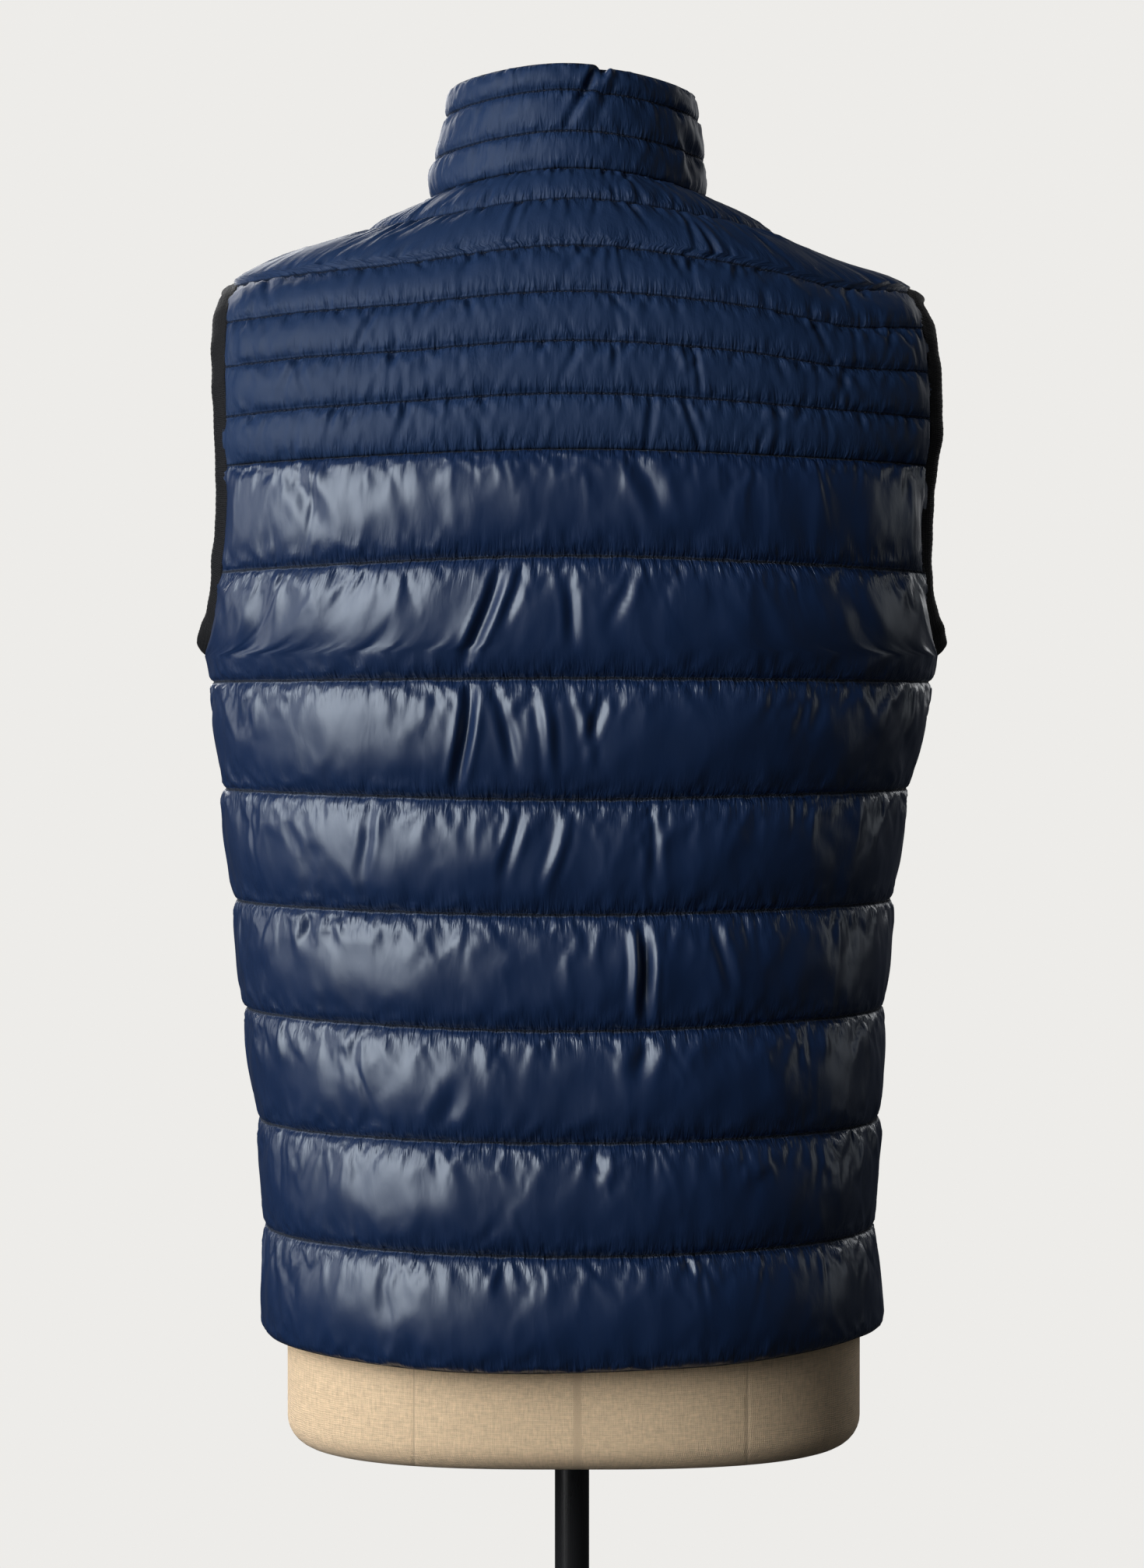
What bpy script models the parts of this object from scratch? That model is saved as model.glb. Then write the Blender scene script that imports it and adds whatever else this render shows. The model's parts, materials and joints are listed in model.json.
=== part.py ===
"""Quilted sleeveless gilet standing on a limbless dress form, as construction solids.

Metres, +Z up, origin on the floor under the middle of the stand. The gilet's front faces -Y,
its back +Y, and the wearer's left is +X.

All of the cloth comes from one ring surface. A ring is a level section of the garment, given by a
row of ROWS; `theta` runs round it from the centre back (0) over the wearer's left side (90 degrees)
to the centre front (180). Row numbers are whole at the quilting seams, so a row number such as 4.5
is the middle of a channel. A panel is a wall on that surface: its inner face is smooth, and its
outer face swells between the seams.
"""

import math

import bmesh
import bpy
import numpy as np
from mathutils import Matrix, Vector

MM = 0.001
HALF_GAP = 0.18 * MM  # pieces that are sewn together lie twice this apart
WALL = 3.0 * MM  # thickness of the two shells and their filling along a stitched seam

# One row for each seam, from the hem up to the collar's top edge, in millimetres. z_back, z_side and
# z_front are the ring's heights; half_width, back and front its reach from the axis; shift moves
# it towards the wearer's left; square is the exponent of its superellipse (2 is an ellipse).
ROW_COLUMNS = ("seam", "z_back", "z_side", "z_front", "half_width", "back", "front", "shift", "square")
ROWS = (
    ("hem", 841.5, 846.5, 846.5, 182.5, 129.0, 139.0, -1.0, 2.35),
    ("body_7", 906.0, 909.5, 909.0, 180.0, 127.0, 138.0, 1.5, 2.35),
    ("body_6", 969.5, 972.5, 972.0, 183.5, 124.5, 137.0, 2.0, 2.35),
    ("body_5", 1032.5, 1038.0, 1037.0, 188.5, 122.5, 137.0, 4.5, 2.35),
    ("body_4", 1098.0, 1101.5, 1101.0, 194.0, 123.5, 138.5, 5.0, 2.35),
    ("body_3", 1163.0, 1167.0, 1166.0, 202.0, 128.0, 141.5, 3.5, 2.40),
    ("body_2", 1231.0, 1229.5, 1229.5, 212.0, 134.0, 145.0, 0.5, 2.40),
    ("body_1", 1299.0, 1291.5, 1287.0, 219.5, 138.0, 146.0, 0.0, 2.45),
    ("yoke_seam", 1358.5, 1352.0, 1339.0, 223.5, 136.0, 142.0, -1.0, 2.45),
    ("yoke_e", 1390.0, 1378.5, 1363.0, 227.0, 133.0, 137.0, -1.5, 2.40),
    ("yoke_d", 1420.0, 1406.0, 1385.0, 228.0, 127.0, 130.0, -1.5, 2.35),
    ("yoke_c", 1448.5, 1433.0, 1405.5, 225.0, 118.0, 121.5, -1.0, 2.20),
    ("yoke_b", 1476.0, 1458.0, 1425.0, 205.0, 103.0, 111.0, 0.0, 2.05),
    ("yoke_a", 1505.0, 1491.0, 1444.0, 125.0, 83.0, 98.5, 0.0, 2.00),
    ("neck", 1524.5, 1514.5, 1459.0, 79.0, 68.0, 87.0, 0.0, 2.00),
    ("collar_2", 1546.5, 1537.5, 1484.0, 77.5, 64.0, 86.0, 0.0, 2.00),
    ("collar_1", 1570.5, 1562.0, 1510.0, 74.5, 60.5, 84.5, 0.0, 2.00),
    ("collar_top", 1586.5, 1578.5, 1532.0, 71.5, 57.5, 82.5, 0.0, 2.00),
)
SEAMS = [row[0] for row in ROWS]
HEM, YOKE, NECK, TOP = (SEAMS.index(name) for name in ("hem", "yoke_seam", "neck", "collar_top"))

# How far the dress form stays inside the cloth's inner face, in millimetres, at the same seams. The
# gilet hangs from the form's shoulders, so the two are closest at yoke_a.
FORM_COLUMNS = ("seam", "at_side", "at_back", "at_front")
FORM_GAPS = (
    ("hem", 9.5, 14.0, 18.0),
    ("body_7", 9.0, 14.0, 18.0),
    ("body_6", 15.0, 15.0, 20.0),
    ("body_5", 25.0, 16.0, 25.0),
    ("body_4", 30.0, 17.0, 26.0),
    ("body_3", 29.0, 14.0, 19.0),
    ("body_2", 28.0, 10.0, 12.0),
    ("body_1", 30.0, 8.0, 9.0),
    ("yoke_seam", 33.0, 7.0, 8.0),
    ("yoke_e", 36.0, 6.5, 8.0),
    ("yoke_d", 36.0, 6.0, 8.0),
    ("yoke_c", 30.0, 5.0, 7.0),
    ("yoke_b", 9.0, 3.5, 5.0),
    ("yoke_a", 0.35, 0.35, 0.35),
    ("neck", 5.0, 5.0, 5.0),
    ("collar_2", 9.0, 9.0, 9.0),
    ("collar_1", 10.0, 10.0, 10.0),
)

COLUMN_STEP = math.radians(9)  # the facets' width round the body
BODY_STOPS = (0.0, 0.3, 0.7)  # rows of facets within a channel of the body
YOKE_STOPS = (0.0, 0.5)  # and within one of the yoke or the collar
BODY_PUFF = 12.0 * MM  # how far a channel swells past its seams
YOKE_PUFF = 5.5 * MM
COLLAR_PUFF = 4.0 * MM
SIDE_TAPER = 0.6  # the share of a body channel's swell that is lost at a side seam

# The armhole is an egg in side view: the panels end on it, and the binding is sewn along it.
ARMHOLE_BOTTOM = 1.246
ARMHOLE_TOP = 1.4635
ARMHOLE_BACK = 74.0 * MM  # its reach behind the side line
ARMHOLE_FRONT = 82.0 * MM  # and in front of it
ARMHOLE_ROUNDNESS = 2.5
BINDING_WIDTH = 9.6 * MM
BINDING_THICKNESS = 5.6 * MM
BINDING_CORNER = 0.62  # where the cut corners of the binding's section start, as a share of its sides

ZIP_HALF_WIDTH = 6.0 * MM  # from the centre front to a front panel's edge
TAPE_THICKNESS = 1.2 * MM
TAPE_FACE = -1.0 * MM  # the tape's outer face, under the panels' seam surface
SLIDER_ROW = TOP - 0.42
SLIDER = {"width": 9.0 * MM, "length": 11.0 * MM, "height": 3.4 * MM, "wall": 1.2 * MM, "roof": 1.2 * MM}
BRIDGE = {"width": 2.4 * MM, "length": 8.0 * MM, "height": 4.2 * MM, "bar": 1.2 * MM}
PULL = {"width": 7.0 * MM, "length": 26.0 * MM, "thickness": 1.4 * MM, "rim": 1.4 * MM}
PULL_HOLE = {"width": 3.6 * MM, "length": 6.6 * MM}
BOX_ROW = 0.1  # the row at its middle
BOX = {"width": 10.0 * MM, "length": 9.0 * MM, "height": 3.2 * MM}

FORM_BOTTOM = 0.780
FORM_FOOT_ROUND = 16.0 * MM
NECK_CAP = {"row": 15.45, "z_back": 1.5525, "z_front": 1.506}
POLE_RADIUS = 10.25 * MM
POLE_SOCKET = 60.0 * MM  # how far the pole goes up into the form
POLE_FIT = 0.3 * MM
FOOT_RADIUS = 0.190
FOOT_HEIGHT = 16.0 * MM
BOSS_RADIUS = 24.0 * MM
BOSS_HEIGHT = 52.0 * MM
FOOT_FLOOR = 5.0 * MM  # metal left under the pole
ROUND_SIDES = 48

COLOURS = {
    "satin_nylon": ((0.020, 0.042, 0.115), 0.50, 0.0),
    "gloss_nylon": ((0.014, 0.030, 0.085), 0.24, 0.0),
    "rib_elastic": ((0.008, 0.009, 0.012), 0.75, 0.0),
    "zip_tape": ((0.010, 0.018, 0.045), 0.70, 0.0),
    "zip_metal": ((0.030, 0.032, 0.036), 0.35, 0.9),
    "linen": ((0.520, 0.400, 0.250), 0.88, 0.0),
    "black_steel": ((0.016, 0.016, 0.018), 0.30, 0.6),
}


# ---------------------------------------------------------------- the ring surface


def smooth_column(values):
    """A monotone cubic through the values at 0, 1, 2 …, so that no ring swells past its seams' sizes."""
    values = np.array(values, float)
    step = np.diff(values)
    slope = np.concatenate([step[:1], np.zeros(len(step) - 1), step[-1:]])
    rising = step[:-1] * step[1:] > 0
    slope[1:-1][rising] = (2 * step[:-1] * step[1:])[rising] / (step[:-1] + step[1:])[rising]

    def read(row):
        i = int(min(max(math.floor(row), 0), len(step) - 1))
        t = row - i
        held = (1 + 2 * t) * (1 - t) ** 2 * values[i] + t * t * (3 - 2 * t) * values[i + 1]
        return held + t * (1 - t) ** 2 * slope[i] - t * t * (1 - t) * slope[i + 1]

    return read


RING = {
    name: smooth_column([row[k] * (1 if name == "square" else MM) for row in ROWS])
    for k, name in enumerate(ROW_COLUMNS)
    if k
}
FORM_GAP = {
    name: smooth_column([row[k] * MM for row in FORM_GAPS])
    for k, name in enumerate(FORM_COLUMNS)
    if k
}


def ring_point(row, theta):
    """The point of the seam surface at this row and angle."""
    sine, cosine = math.sin(theta), math.cos(theta)
    behind = cosine >= 0
    depth = RING["back"](row) if behind else RING["front"](row)
    square = RING["square"](row)
    reach = (abs(sine) / RING["half_width"](row)) ** square + (abs(cosine) / depth) ** square
    reach = reach ** (-1 / square)
    side = RING["z_side"](row)
    middle = RING["z_back"](row) if behind else RING["z_front"](row)
    height = side + (middle - side) * cosine * cosine
    return Vector((RING["shift"](row) + reach * sine, reach * cosine, height))


def ring_normal(row, theta, step=0.02):
    up = ring_point(row + step, theta) - ring_point(row - step, theta)
    along = ring_point(row, theta + step) - ring_point(row, theta - step)
    return up.cross(along).normalized()


def cloth_point(row, theta, offset):
    """A point this far outside the seam surface."""
    return ring_point(row, theta) + ring_normal(row, theta) * offset


def row_gap(row):
    """HALF_GAP as a part of a row, at the centre back."""
    return HALF_GAP / (ring_point(row + 0.01, 0) - ring_point(row - 0.01, 0)).length * 0.02


def row_at_side_height(height, low, high):
    """The row between low and high whose ring passes the side line at this height."""
    for _ in range(40):
        middle = (low + high) / 2
        low, high = (middle, high) if RING["z_side"](middle) < height else (low, middle)
    return low


ARMHOLE_FIRST = row_at_side_height(ARMHOLE_BOTTOM, HEM, YOKE)
ARMHOLE_LAST = row_at_side_height(ARMHOLE_TOP, YOKE, NECK)


def armhole_angle(row, behind):
    """How far round from the centre back or the centre front a panel reaches at this row."""
    if not ARMHOLE_FIRST < row < ARMHOLE_LAST:
        return math.pi / 2
    middle, half = (ARMHOLE_TOP + ARMHOLE_BOTTOM) / 2, (ARMHOLE_TOP - ARMHOLE_BOTTOM) / 2
    width = ARMHOLE_BACK if behind else ARMHOLE_FRONT
    low, high = math.radians(20), math.pi / 2
    for _ in range(40):
        angle = (low + high) / 2
        point = ring_point(row, angle if behind else math.pi - angle)
        share = min(abs(point.z - middle) / half, 1.0)
        edge = width * (1 - share**ARMHOLE_ROUNDNESS) ** (1 / ARMHOLE_ROUNDNESS)
        low, high = (angle, high) if abs(point.y) > edge else (low, angle)
    return low


# ---------------------------------------------------------------- Blender objects


def material(slot):
    found = bpy.data.materials.get(slot)
    if found:
        return found
    colour, roughness, metallic = COLOURS[slot]
    made = bpy.data.materials.new(slot)
    made.use_nodes = True
    shader = made.node_tree.nodes["Principled BSDF"]
    shader.inputs["Base Color"].default_value = (*colour, 1)
    shader.inputs["Roughness"].default_value = roughness
    shader.inputs["Metallic"].default_value = metallic
    made.diffuse_color = (*colour, 1)
    return made


def object_from(name, mesh_maker, slot, smooth_angle=40):
    """An object from a bmesh, with its doubles merged and its faces turned outwards."""
    bmesh.ops.remove_doubles(mesh_maker, verts=mesh_maker.verts, dist=1e-6)
    bmesh.ops.triangulate(mesh_maker, faces=mesh_maker.faces)
    bmesh.ops.recalc_face_normals(mesh_maker, faces=mesh_maker.faces)
    mesh = bpy.data.meshes.new(name)
    mesh_maker.to_mesh(mesh)
    mesh_maker.free()
    mesh.materials.append(material(slot))
    mesh.shade_smooth()
    mesh.set_sharp_from_angle(angle=math.radians(smooth_angle))
    made = bpy.data.objects.new(name, mesh)
    bpy.context.scene.collection.objects.link(made)
    return made


def skin_rings(maker, rings, wrap_rings=False):
    """Quads between closed rings of points; the first and last are capped unless the rings wrap round."""
    loops = [[maker.verts.new(point) for point in ring] for ring in rings]
    pairs = list(zip(loops, loops[1:] + loops[:1])) if wrap_rings else list(zip(loops, loops[1:]))
    for low, high in pairs:
        for k in range(len(low)):
            after = (k + 1) % len(low)
            maker.faces.new((low[k], low[after], high[after], high[k]))
    if not wrap_rings:
        maker.faces.new(loops[0][::-1])
        maker.faces.new(loops[-1])


def add_box(maker, low, high, frame):
    made = bmesh.ops.create_cube(maker, size=1)["verts"]
    low, high = Vector(low), Vector(high)
    sizes = Matrix.Diagonal((*(high - low), 1))
    bmesh.ops.transform(maker, verts=made, matrix=frame @ Matrix.Translation((low + high) / 2) @ sizes)


def bevelled_box(name, low, high, frame, slot, bevel):
    maker = bmesh.new()
    add_box(maker, low, high, frame)
    bmesh.ops.bevel(maker, geom=maker.edges[:], offset=bevel, segments=2, affect="EDGES", profile=0.5)
    return object_from(name, maker, slot)


def turned(name, profile, slot):
    """A solid turned about Z from (radius, height) pairs that start and end on the axis."""
    maker = bmesh.new()
    rings = [
        [
            Vector((radius * math.cos(turn), radius * math.sin(turn), height))
            for turn in np.linspace(0, 2 * math.pi, ROUND_SIDES, endpoint=False)
        ]
        for radius, height in profile
    ]
    skin_rings(maker, rings)
    return object_from(name, maker, slot)


def boolean(target, cutter, operation):
    """Applies a Boolean and removes its cutter."""
    modifier = target.modifiers.new("Boolean", "BOOLEAN")
    modifier.operation = operation
    modifier.object = cutter
    graph = bpy.context.evaluated_depsgraph_get()
    mesh = bpy.data.meshes.new_from_object(target.evaluated_get(graph))
    target.modifiers.remove(modifier)
    target.data = mesh
    bpy.data.objects.remove(cutter)


# ---------------------------------------------------------------- cloth


def channel_rows(first, last, stops):
    """Rows of facets from one seam to another, with the armhole's two ends among them."""
    rows = [channel + stop for channel in range(first, last) for stop in stops] + [last]
    rows += [ARMHOLE_FIRST, ARMHOLE_FIRST + 0.07, ARMHOLE_LAST - 0.08, ARMHOLE_LAST]
    rows = sorted(row for row in rows if first <= row <= last)
    kept = [rows[0]]
    for row in rows[1:]:
        if row - kept[-1] > 0.045 or row == last:
            kept.append(row)
        elif row in (ARMHOLE_FIRST, ARMHOLE_LAST):
            kept[-1] = row
    return kept


BODY_ROWS = channel_rows(HEM, YOKE, BODY_STOPS)
YOKE_ROWS = channel_rows(YOKE, NECK, YOKE_STOPS)
COLLAR_ROWS = channel_rows(NECK, TOP, YOKE_STOPS)


def swell(row):
    """0 on a seam, 1 in the middle of a channel."""
    across = row - math.floor(row)
    return (4 * across * (1 - across)) ** 0.7


def panel(name, slot, rows, angles, puff, side_taper=0.0):
    """A wall over these rows. angles(row) gives the columns; the swell fades out at the outer ones."""
    low, high = rows[0] + row_gap(rows[0]), rows[-1] - row_gap(rows[-1])
    inner, outer = [], []
    for row in rows:
        place = min(max(row, low), high)
        columns = angles(row)
        inside = [cloth_point(place, theta, -WALL) for theta in columns]
        outside = []
        for k, theta in enumerate(columns):
            edge = 0.0 if k in (0, len(columns) - 1) else 1 - side_taper * math.sin(theta) ** 4
            outside.append(cloth_point(place, theta, puff * swell(row) * edge))
        inner.append(inside)
        outer.append(outside)
    maker = bmesh.new()
    skin_rings(maker, [front + back[::-1] for front, back in zip(outer, inner)])
    return object_from(name, maker, slot, smooth_angle=50)


def back_angles(row):
    """Columns of the back, from the wearer's right edge to the left one."""
    edge = armhole_angle(row, behind=True)
    if edge == math.pi / 2:
        edge -= HALF_GAP / RING["half_width"](row)
    count = round(math.pi / COLUMN_STEP)
    return [edge * (2 * k / count - 1) for k in range(count + 1)]


def front_angles(row):
    """Columns of the wearer's left front, from the side to the zip."""
    edge = math.pi - armhole_angle(row, behind=False)
    if edge == math.pi / 2:
        edge += HALF_GAP / RING["half_width"](row)
    last = math.pi - COLUMN_STEP
    count = round(math.pi / 2 / COLUMN_STEP) - 1
    columns = [edge + (last - edge) * k / count for k in range(count + 1)]
    return columns + [math.pi - zip_angle(row, ZIP_HALF_WIDTH)]


def zip_angle(row, distance):
    return math.asin(distance / RING["front"](row))


def mirrored(angles):
    return lambda row: [-theta for theta in angles(row)][::-1]


def collar_angles(row):
    edge = math.pi - zip_angle(row, ZIP_HALF_WIDTH)
    last = math.pi - COLUMN_STEP
    count = round(2 * last / COLUMN_STEP)
    return [-edge] + [last * (2 * k / count - 1) for k in range(count + 1)] + [edge]


def zip_tape(name, side):
    """The woven tape between a front panel and the teeth."""
    rows = [HEM + k / 2 for k in range(2 * TOP + 1)]
    rings = []
    for row in rows:
        place = min(max(row, HEM + row_gap(HEM)), TOP - row_gap(TOP))
        near, far = (
            side * (math.pi - zip_angle(row, distance))
            for distance in (HALF_GAP, ZIP_HALF_WIDTH - 2 * HALF_GAP)
        )
        back = TAPE_FACE - TAPE_THICKNESS
        spots = ((near, TAPE_FACE), (far, TAPE_FACE), (far, back), (near, back))
        rings.append([cloth_point(place, theta, offset) for theta, offset in spots])
    maker = bmesh.new()
    skin_rings(maker, rings)
    return object_from(name, maker, "zip_tape")


def armhole_binding(name, side):
    """The elastic band that runs once round an armhole, just past the panels' edges."""
    rows = [row for row in BODY_ROWS + YOKE_ROWS[1:] if ARMHOLE_FIRST <= row <= ARMHOLE_LAST]
    route = [(row, side * armhole_angle(row, True)) for row in rows]
    route += [(row, side * (math.pi - armhole_angle(row, False))) for row in rows[-2:0:-1]]
    edge = [cloth_point(row, theta, -WALL / 2) for row, theta in route]
    half_width, half_height = BINDING_WIDTH / 2, BINDING_THICKNESS / 2
    cut = BINDING_CORNER
    section = ((1, cut), (cut, 1), (-cut, 1), (-1, cut), (-1, -cut), (-cut, -1), (cut, -1), (1, -cut))
    rings = []
    for k, (row, theta) in enumerate(route):
        along = (edge[(k + 1) % len(edge)] - edge[k - 1]).normalized()
        normal = ring_normal(row, theta)
        inward = normal.cross(along).normalized() * side
        centre = edge[k] + inward * (half_width + 2 * HALF_GAP)
        rings.append([centre + inward * half_width * a + normal * half_height * b for a, b in section])
    maker = bmesh.new()
    skin_rings(maker, rings, wrap_rings=True)
    return object_from(name, maker, "rib_elastic")


# ---------------------------------------------------------------- zip hardware


def front_frame(row, offset):
    """Axes at the centre front: X across, Y out of the cloth, Z up the zip."""
    origin = cloth_point(row, math.pi, offset)
    up = (ring_point(row + 0.02, math.pi) - ring_point(row - 0.02, math.pi)).normalized()
    out = ring_normal(row, math.pi)
    across = out.cross(up)
    return Matrix((
        (across.x, out.x, up.x, origin.x),
        (across.y, out.y, up.y, origin.y),
        (across.z, out.z, up.z, origin.z),
        (0, 0, 0, 1),
    ))


SLIDER_FRAME = front_frame(SLIDER_ROW, TAPE_FACE + 2 * HALF_GAP)
PIVOT = SLIDER_FRAME @ Vector((0, SLIDER["height"] + (BRIDGE["height"] - BRIDGE["bar"]) / 2, 0))


def zip_slider():
    """A channel that straddles the teeth, with a bridge that holds the pull tab."""
    half, length, height = SLIDER["width"] / 2, SLIDER["length"], SLIDER["height"]
    inside, under = half - SLIDER["wall"], height - SLIDER["roof"]
    outline = (
        (-half, 0), (-inside, 0), (-inside, under), (inside, under),
        (inside, 0), (half, 0), (half, height), (-half, height),
    )
    maker = bmesh.new()
    ends = (-length / 2, length / 2)
    skin_rings(maker, [[SLIDER_FRAME @ Vector((x, y, z)) for x, y in outline] for z in ends])
    slider = object_from("zip_slider", maker, "zip_metal")
    half, bar, sunk = BRIDGE["width"] / 2, BRIDGE["bar"], 0.4 * MM
    reach, rise = BRIDGE["length"] / 2, BRIDGE["height"]
    arch = (
        (-reach, -sunk), (-reach + bar, -sunk), (-reach + bar, rise - bar), (reach - bar, rise - bar),
        (reach - bar, -sunk), (reach, -sunk), (reach, rise), (-reach, rise),
    )
    maker = bmesh.new()
    rings = [
        [SLIDER_FRAME @ Vector((x, height + y, z)) for z, y in arch]
        for x in (-half, half)
    ]
    skin_rings(maker, rings)
    boolean(slider, object_from("bridge", maker, "zip_metal"), "UNION")
    return slider


def zip_pull():
    """A flat tab that hangs from the slider's bridge by the top bar of its slot, about the pivot."""
    half, rim = PULL["width"] / 2, PULL["rim"]
    thickness = PULL["thickness"] / 2
    hole = PULL_HOLE["width"] / 2
    top, hole_top, hole_foot = rim / 2, -rim / 2, -rim / 2 - PULL_HOLE["length"]
    foot = top - PULL["length"]
    frame = Matrix.Translation(PIVOT)
    maker = bmesh.new()
    outer = ((-half, foot + half * 0.6), (-half * 0.6, foot), (half * 0.6, foot), (half, foot + half * 0.6))
    outline = [*outer, (half, top), (-half, top)]
    skin_rings(maker, [[frame @ Vector((x, y, z)) for x, z in outline] for y in (-thickness, thickness)])
    tab = object_from("zip_pull", maker, "zip_metal")
    maker = bmesh.new()
    add_box(maker, (-hole, -4 * thickness, hole_foot), (hole, 4 * thickness, hole_top), frame)
    boolean(tab, object_from("slot", maker, "zip_metal"), "DIFFERENCE")
    tab.data.transform(Matrix.Translation(-PIVOT))
    tab.location = PIVOT
    return tab


def zip_box():
    """The block that the two halves of the zip start from, at the hem."""
    frame = front_frame(BOX_ROW, TAPE_FACE + 2 * HALF_GAP)
    half, length = BOX["width"] / 2, BOX["length"] / 2
    low, high = (-half, 0, -length), (half, BOX["height"], length)
    return bevelled_box("zip_box", low, high, frame, "zip_metal", 0.6 * MM)


# ---------------------------------------------------------------- dress form and stand


def form_point(row, theta):
    side = math.sin(theta) ** 2
    middle = FORM_GAP["at_back"] if math.cos(theta) >= 0 else FORM_GAP["at_front"]
    gap = FORM_GAP["at_side"](row) * side + middle(row) * (1 - side)
    return cloth_point(row, theta, -WALL - gap)


def dress_form():
    """The torso under the cloth, with a plain neck, a flat underside and a socket for the pole."""
    count = round(2 * math.pi / COLUMN_STEP)
    turns = [k * COLUMN_STEP for k in range(count)]
    rows = [HEM + k for k in range(YOKE)] + YOKE_ROWS + [NECK + 0.5, NECK + 1]
    rings = [[form_point(row, theta) for theta in turns] for row in rows]
    hem_ring = rings[0]
    foot = []
    for inset, rise in ((1.0, 0.0), (0.35, 0.12), (0.0, 0.45), (0.0, 1.6)):
        ring = []
        for point in hem_ring:
            flat = Vector((point.x, point.y, 0))
            flat -= flat.normalized() * FORM_FOOT_ROUND * inset
            ring.append(Vector((flat.x, flat.y, FORM_BOTTOM + FORM_FOOT_ROUND * rise)))
        foot.append(ring)
    cap = []
    for theta in turns:
        point = form_point(NECK_CAP["row"], theta)
        lean = (1 + math.cos(theta)) / 2
        point.z = NECK_CAP["z_front"] + (NECK_CAP["z_back"] - NECK_CAP["z_front"]) * lean
        cap.append(point)
    middle = sum(cap, Vector()) / len(cap)
    crown = [middle + (point - middle) * 0.9 + Vector((0, 0, 3 * MM)) for point in cap]
    maker = bmesh.new()
    skin_rings(maker, foot + rings + [cap, crown])
    torso = object_from("dress_form", maker, "linen")
    socket = POLE_RADIUS + POLE_FIT
    top = FORM_BOTTOM + POLE_SOCKET + POLE_FIT
    cutter = turned("socket", [(socket, FORM_BOTTOM - 0.02), (socket, top)], "linen")
    boolean(torso, cutter, "DIFFERENCE")
    return torso


def stand():
    pole = turned(
        "stand_pole",
        [(POLE_RADIUS, FOOT_FLOOR + POLE_FIT), (POLE_RADIUS, FORM_BOTTOM + POLE_SOCKET)],
        "black_steel",
    )
    bore = POLE_RADIUS + POLE_FIT
    edge = 3.0 * MM
    foot = turned(
        "stand_foot",
        [
            (FOOT_RADIUS - edge, 0), (FOOT_RADIUS, edge), (FOOT_RADIUS, FOOT_HEIGHT - edge),
            (FOOT_RADIUS - edge, FOOT_HEIGHT), (BOSS_RADIUS + 2 * edge, FOOT_HEIGHT),
            (BOSS_RADIUS, FOOT_HEIGHT + 2 * edge), (BOSS_RADIUS - edge, BOSS_HEIGHT),
            (bore, BOSS_HEIGHT), (bore, FOOT_FLOOR),
        ],
        "black_steel",
    )
    return pole, foot


# ---------------------------------------------------------------- assembly


def main():
    for old in list(bpy.data.objects):
        bpy.data.objects.remove(old)
    panel("back_body", "gloss_nylon", BODY_ROWS, back_angles, BODY_PUFF, SIDE_TAPER)
    panel("front_body_left", "gloss_nylon", BODY_ROWS, front_angles, BODY_PUFF, SIDE_TAPER)
    panel("front_body_right", "gloss_nylon", BODY_ROWS, mirrored(front_angles), BODY_PUFF, SIDE_TAPER)
    panel("back_yoke", "satin_nylon", YOKE_ROWS, back_angles, YOKE_PUFF)
    panel("front_yoke_left", "satin_nylon", YOKE_ROWS, front_angles, YOKE_PUFF)
    panel("front_yoke_right", "satin_nylon", YOKE_ROWS, mirrored(front_angles), YOKE_PUFF)
    panel("collar", "satin_nylon", COLLAR_ROWS, collar_angles, COLLAR_PUFF)
    for side, word in ((1, "left"), (-1, "right")):
        armhole_binding(f"armhole_binding_{word}", side)
        zip_tape(f"zip_tape_{word}", side)
    zip_slider()
    zip_pull()
    zip_box()
    dress_form()
    stand()


main()
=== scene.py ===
"""Looks of a quilted sleeveless gilet on a limbless dress form, around its packed construction model.

Metres, +Z up. The gilet's front faces -Y, its back +Y, and the wearer's left is +X. The cloth follows
the construction's ring surface: a ring is a level section of the garment, row numbers are whole at
the quilting seams, and `theta` runs from the centre back (0) over the wearer's left (90 degrees) to
the centre front (180). Each quilted panel is a fine grid on that surface whose outer shell is blown
up and gathered along its seams by Blender's cloth solver, then given its own large folds.
"""

import json
import math
from collections import namedtuple

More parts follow.
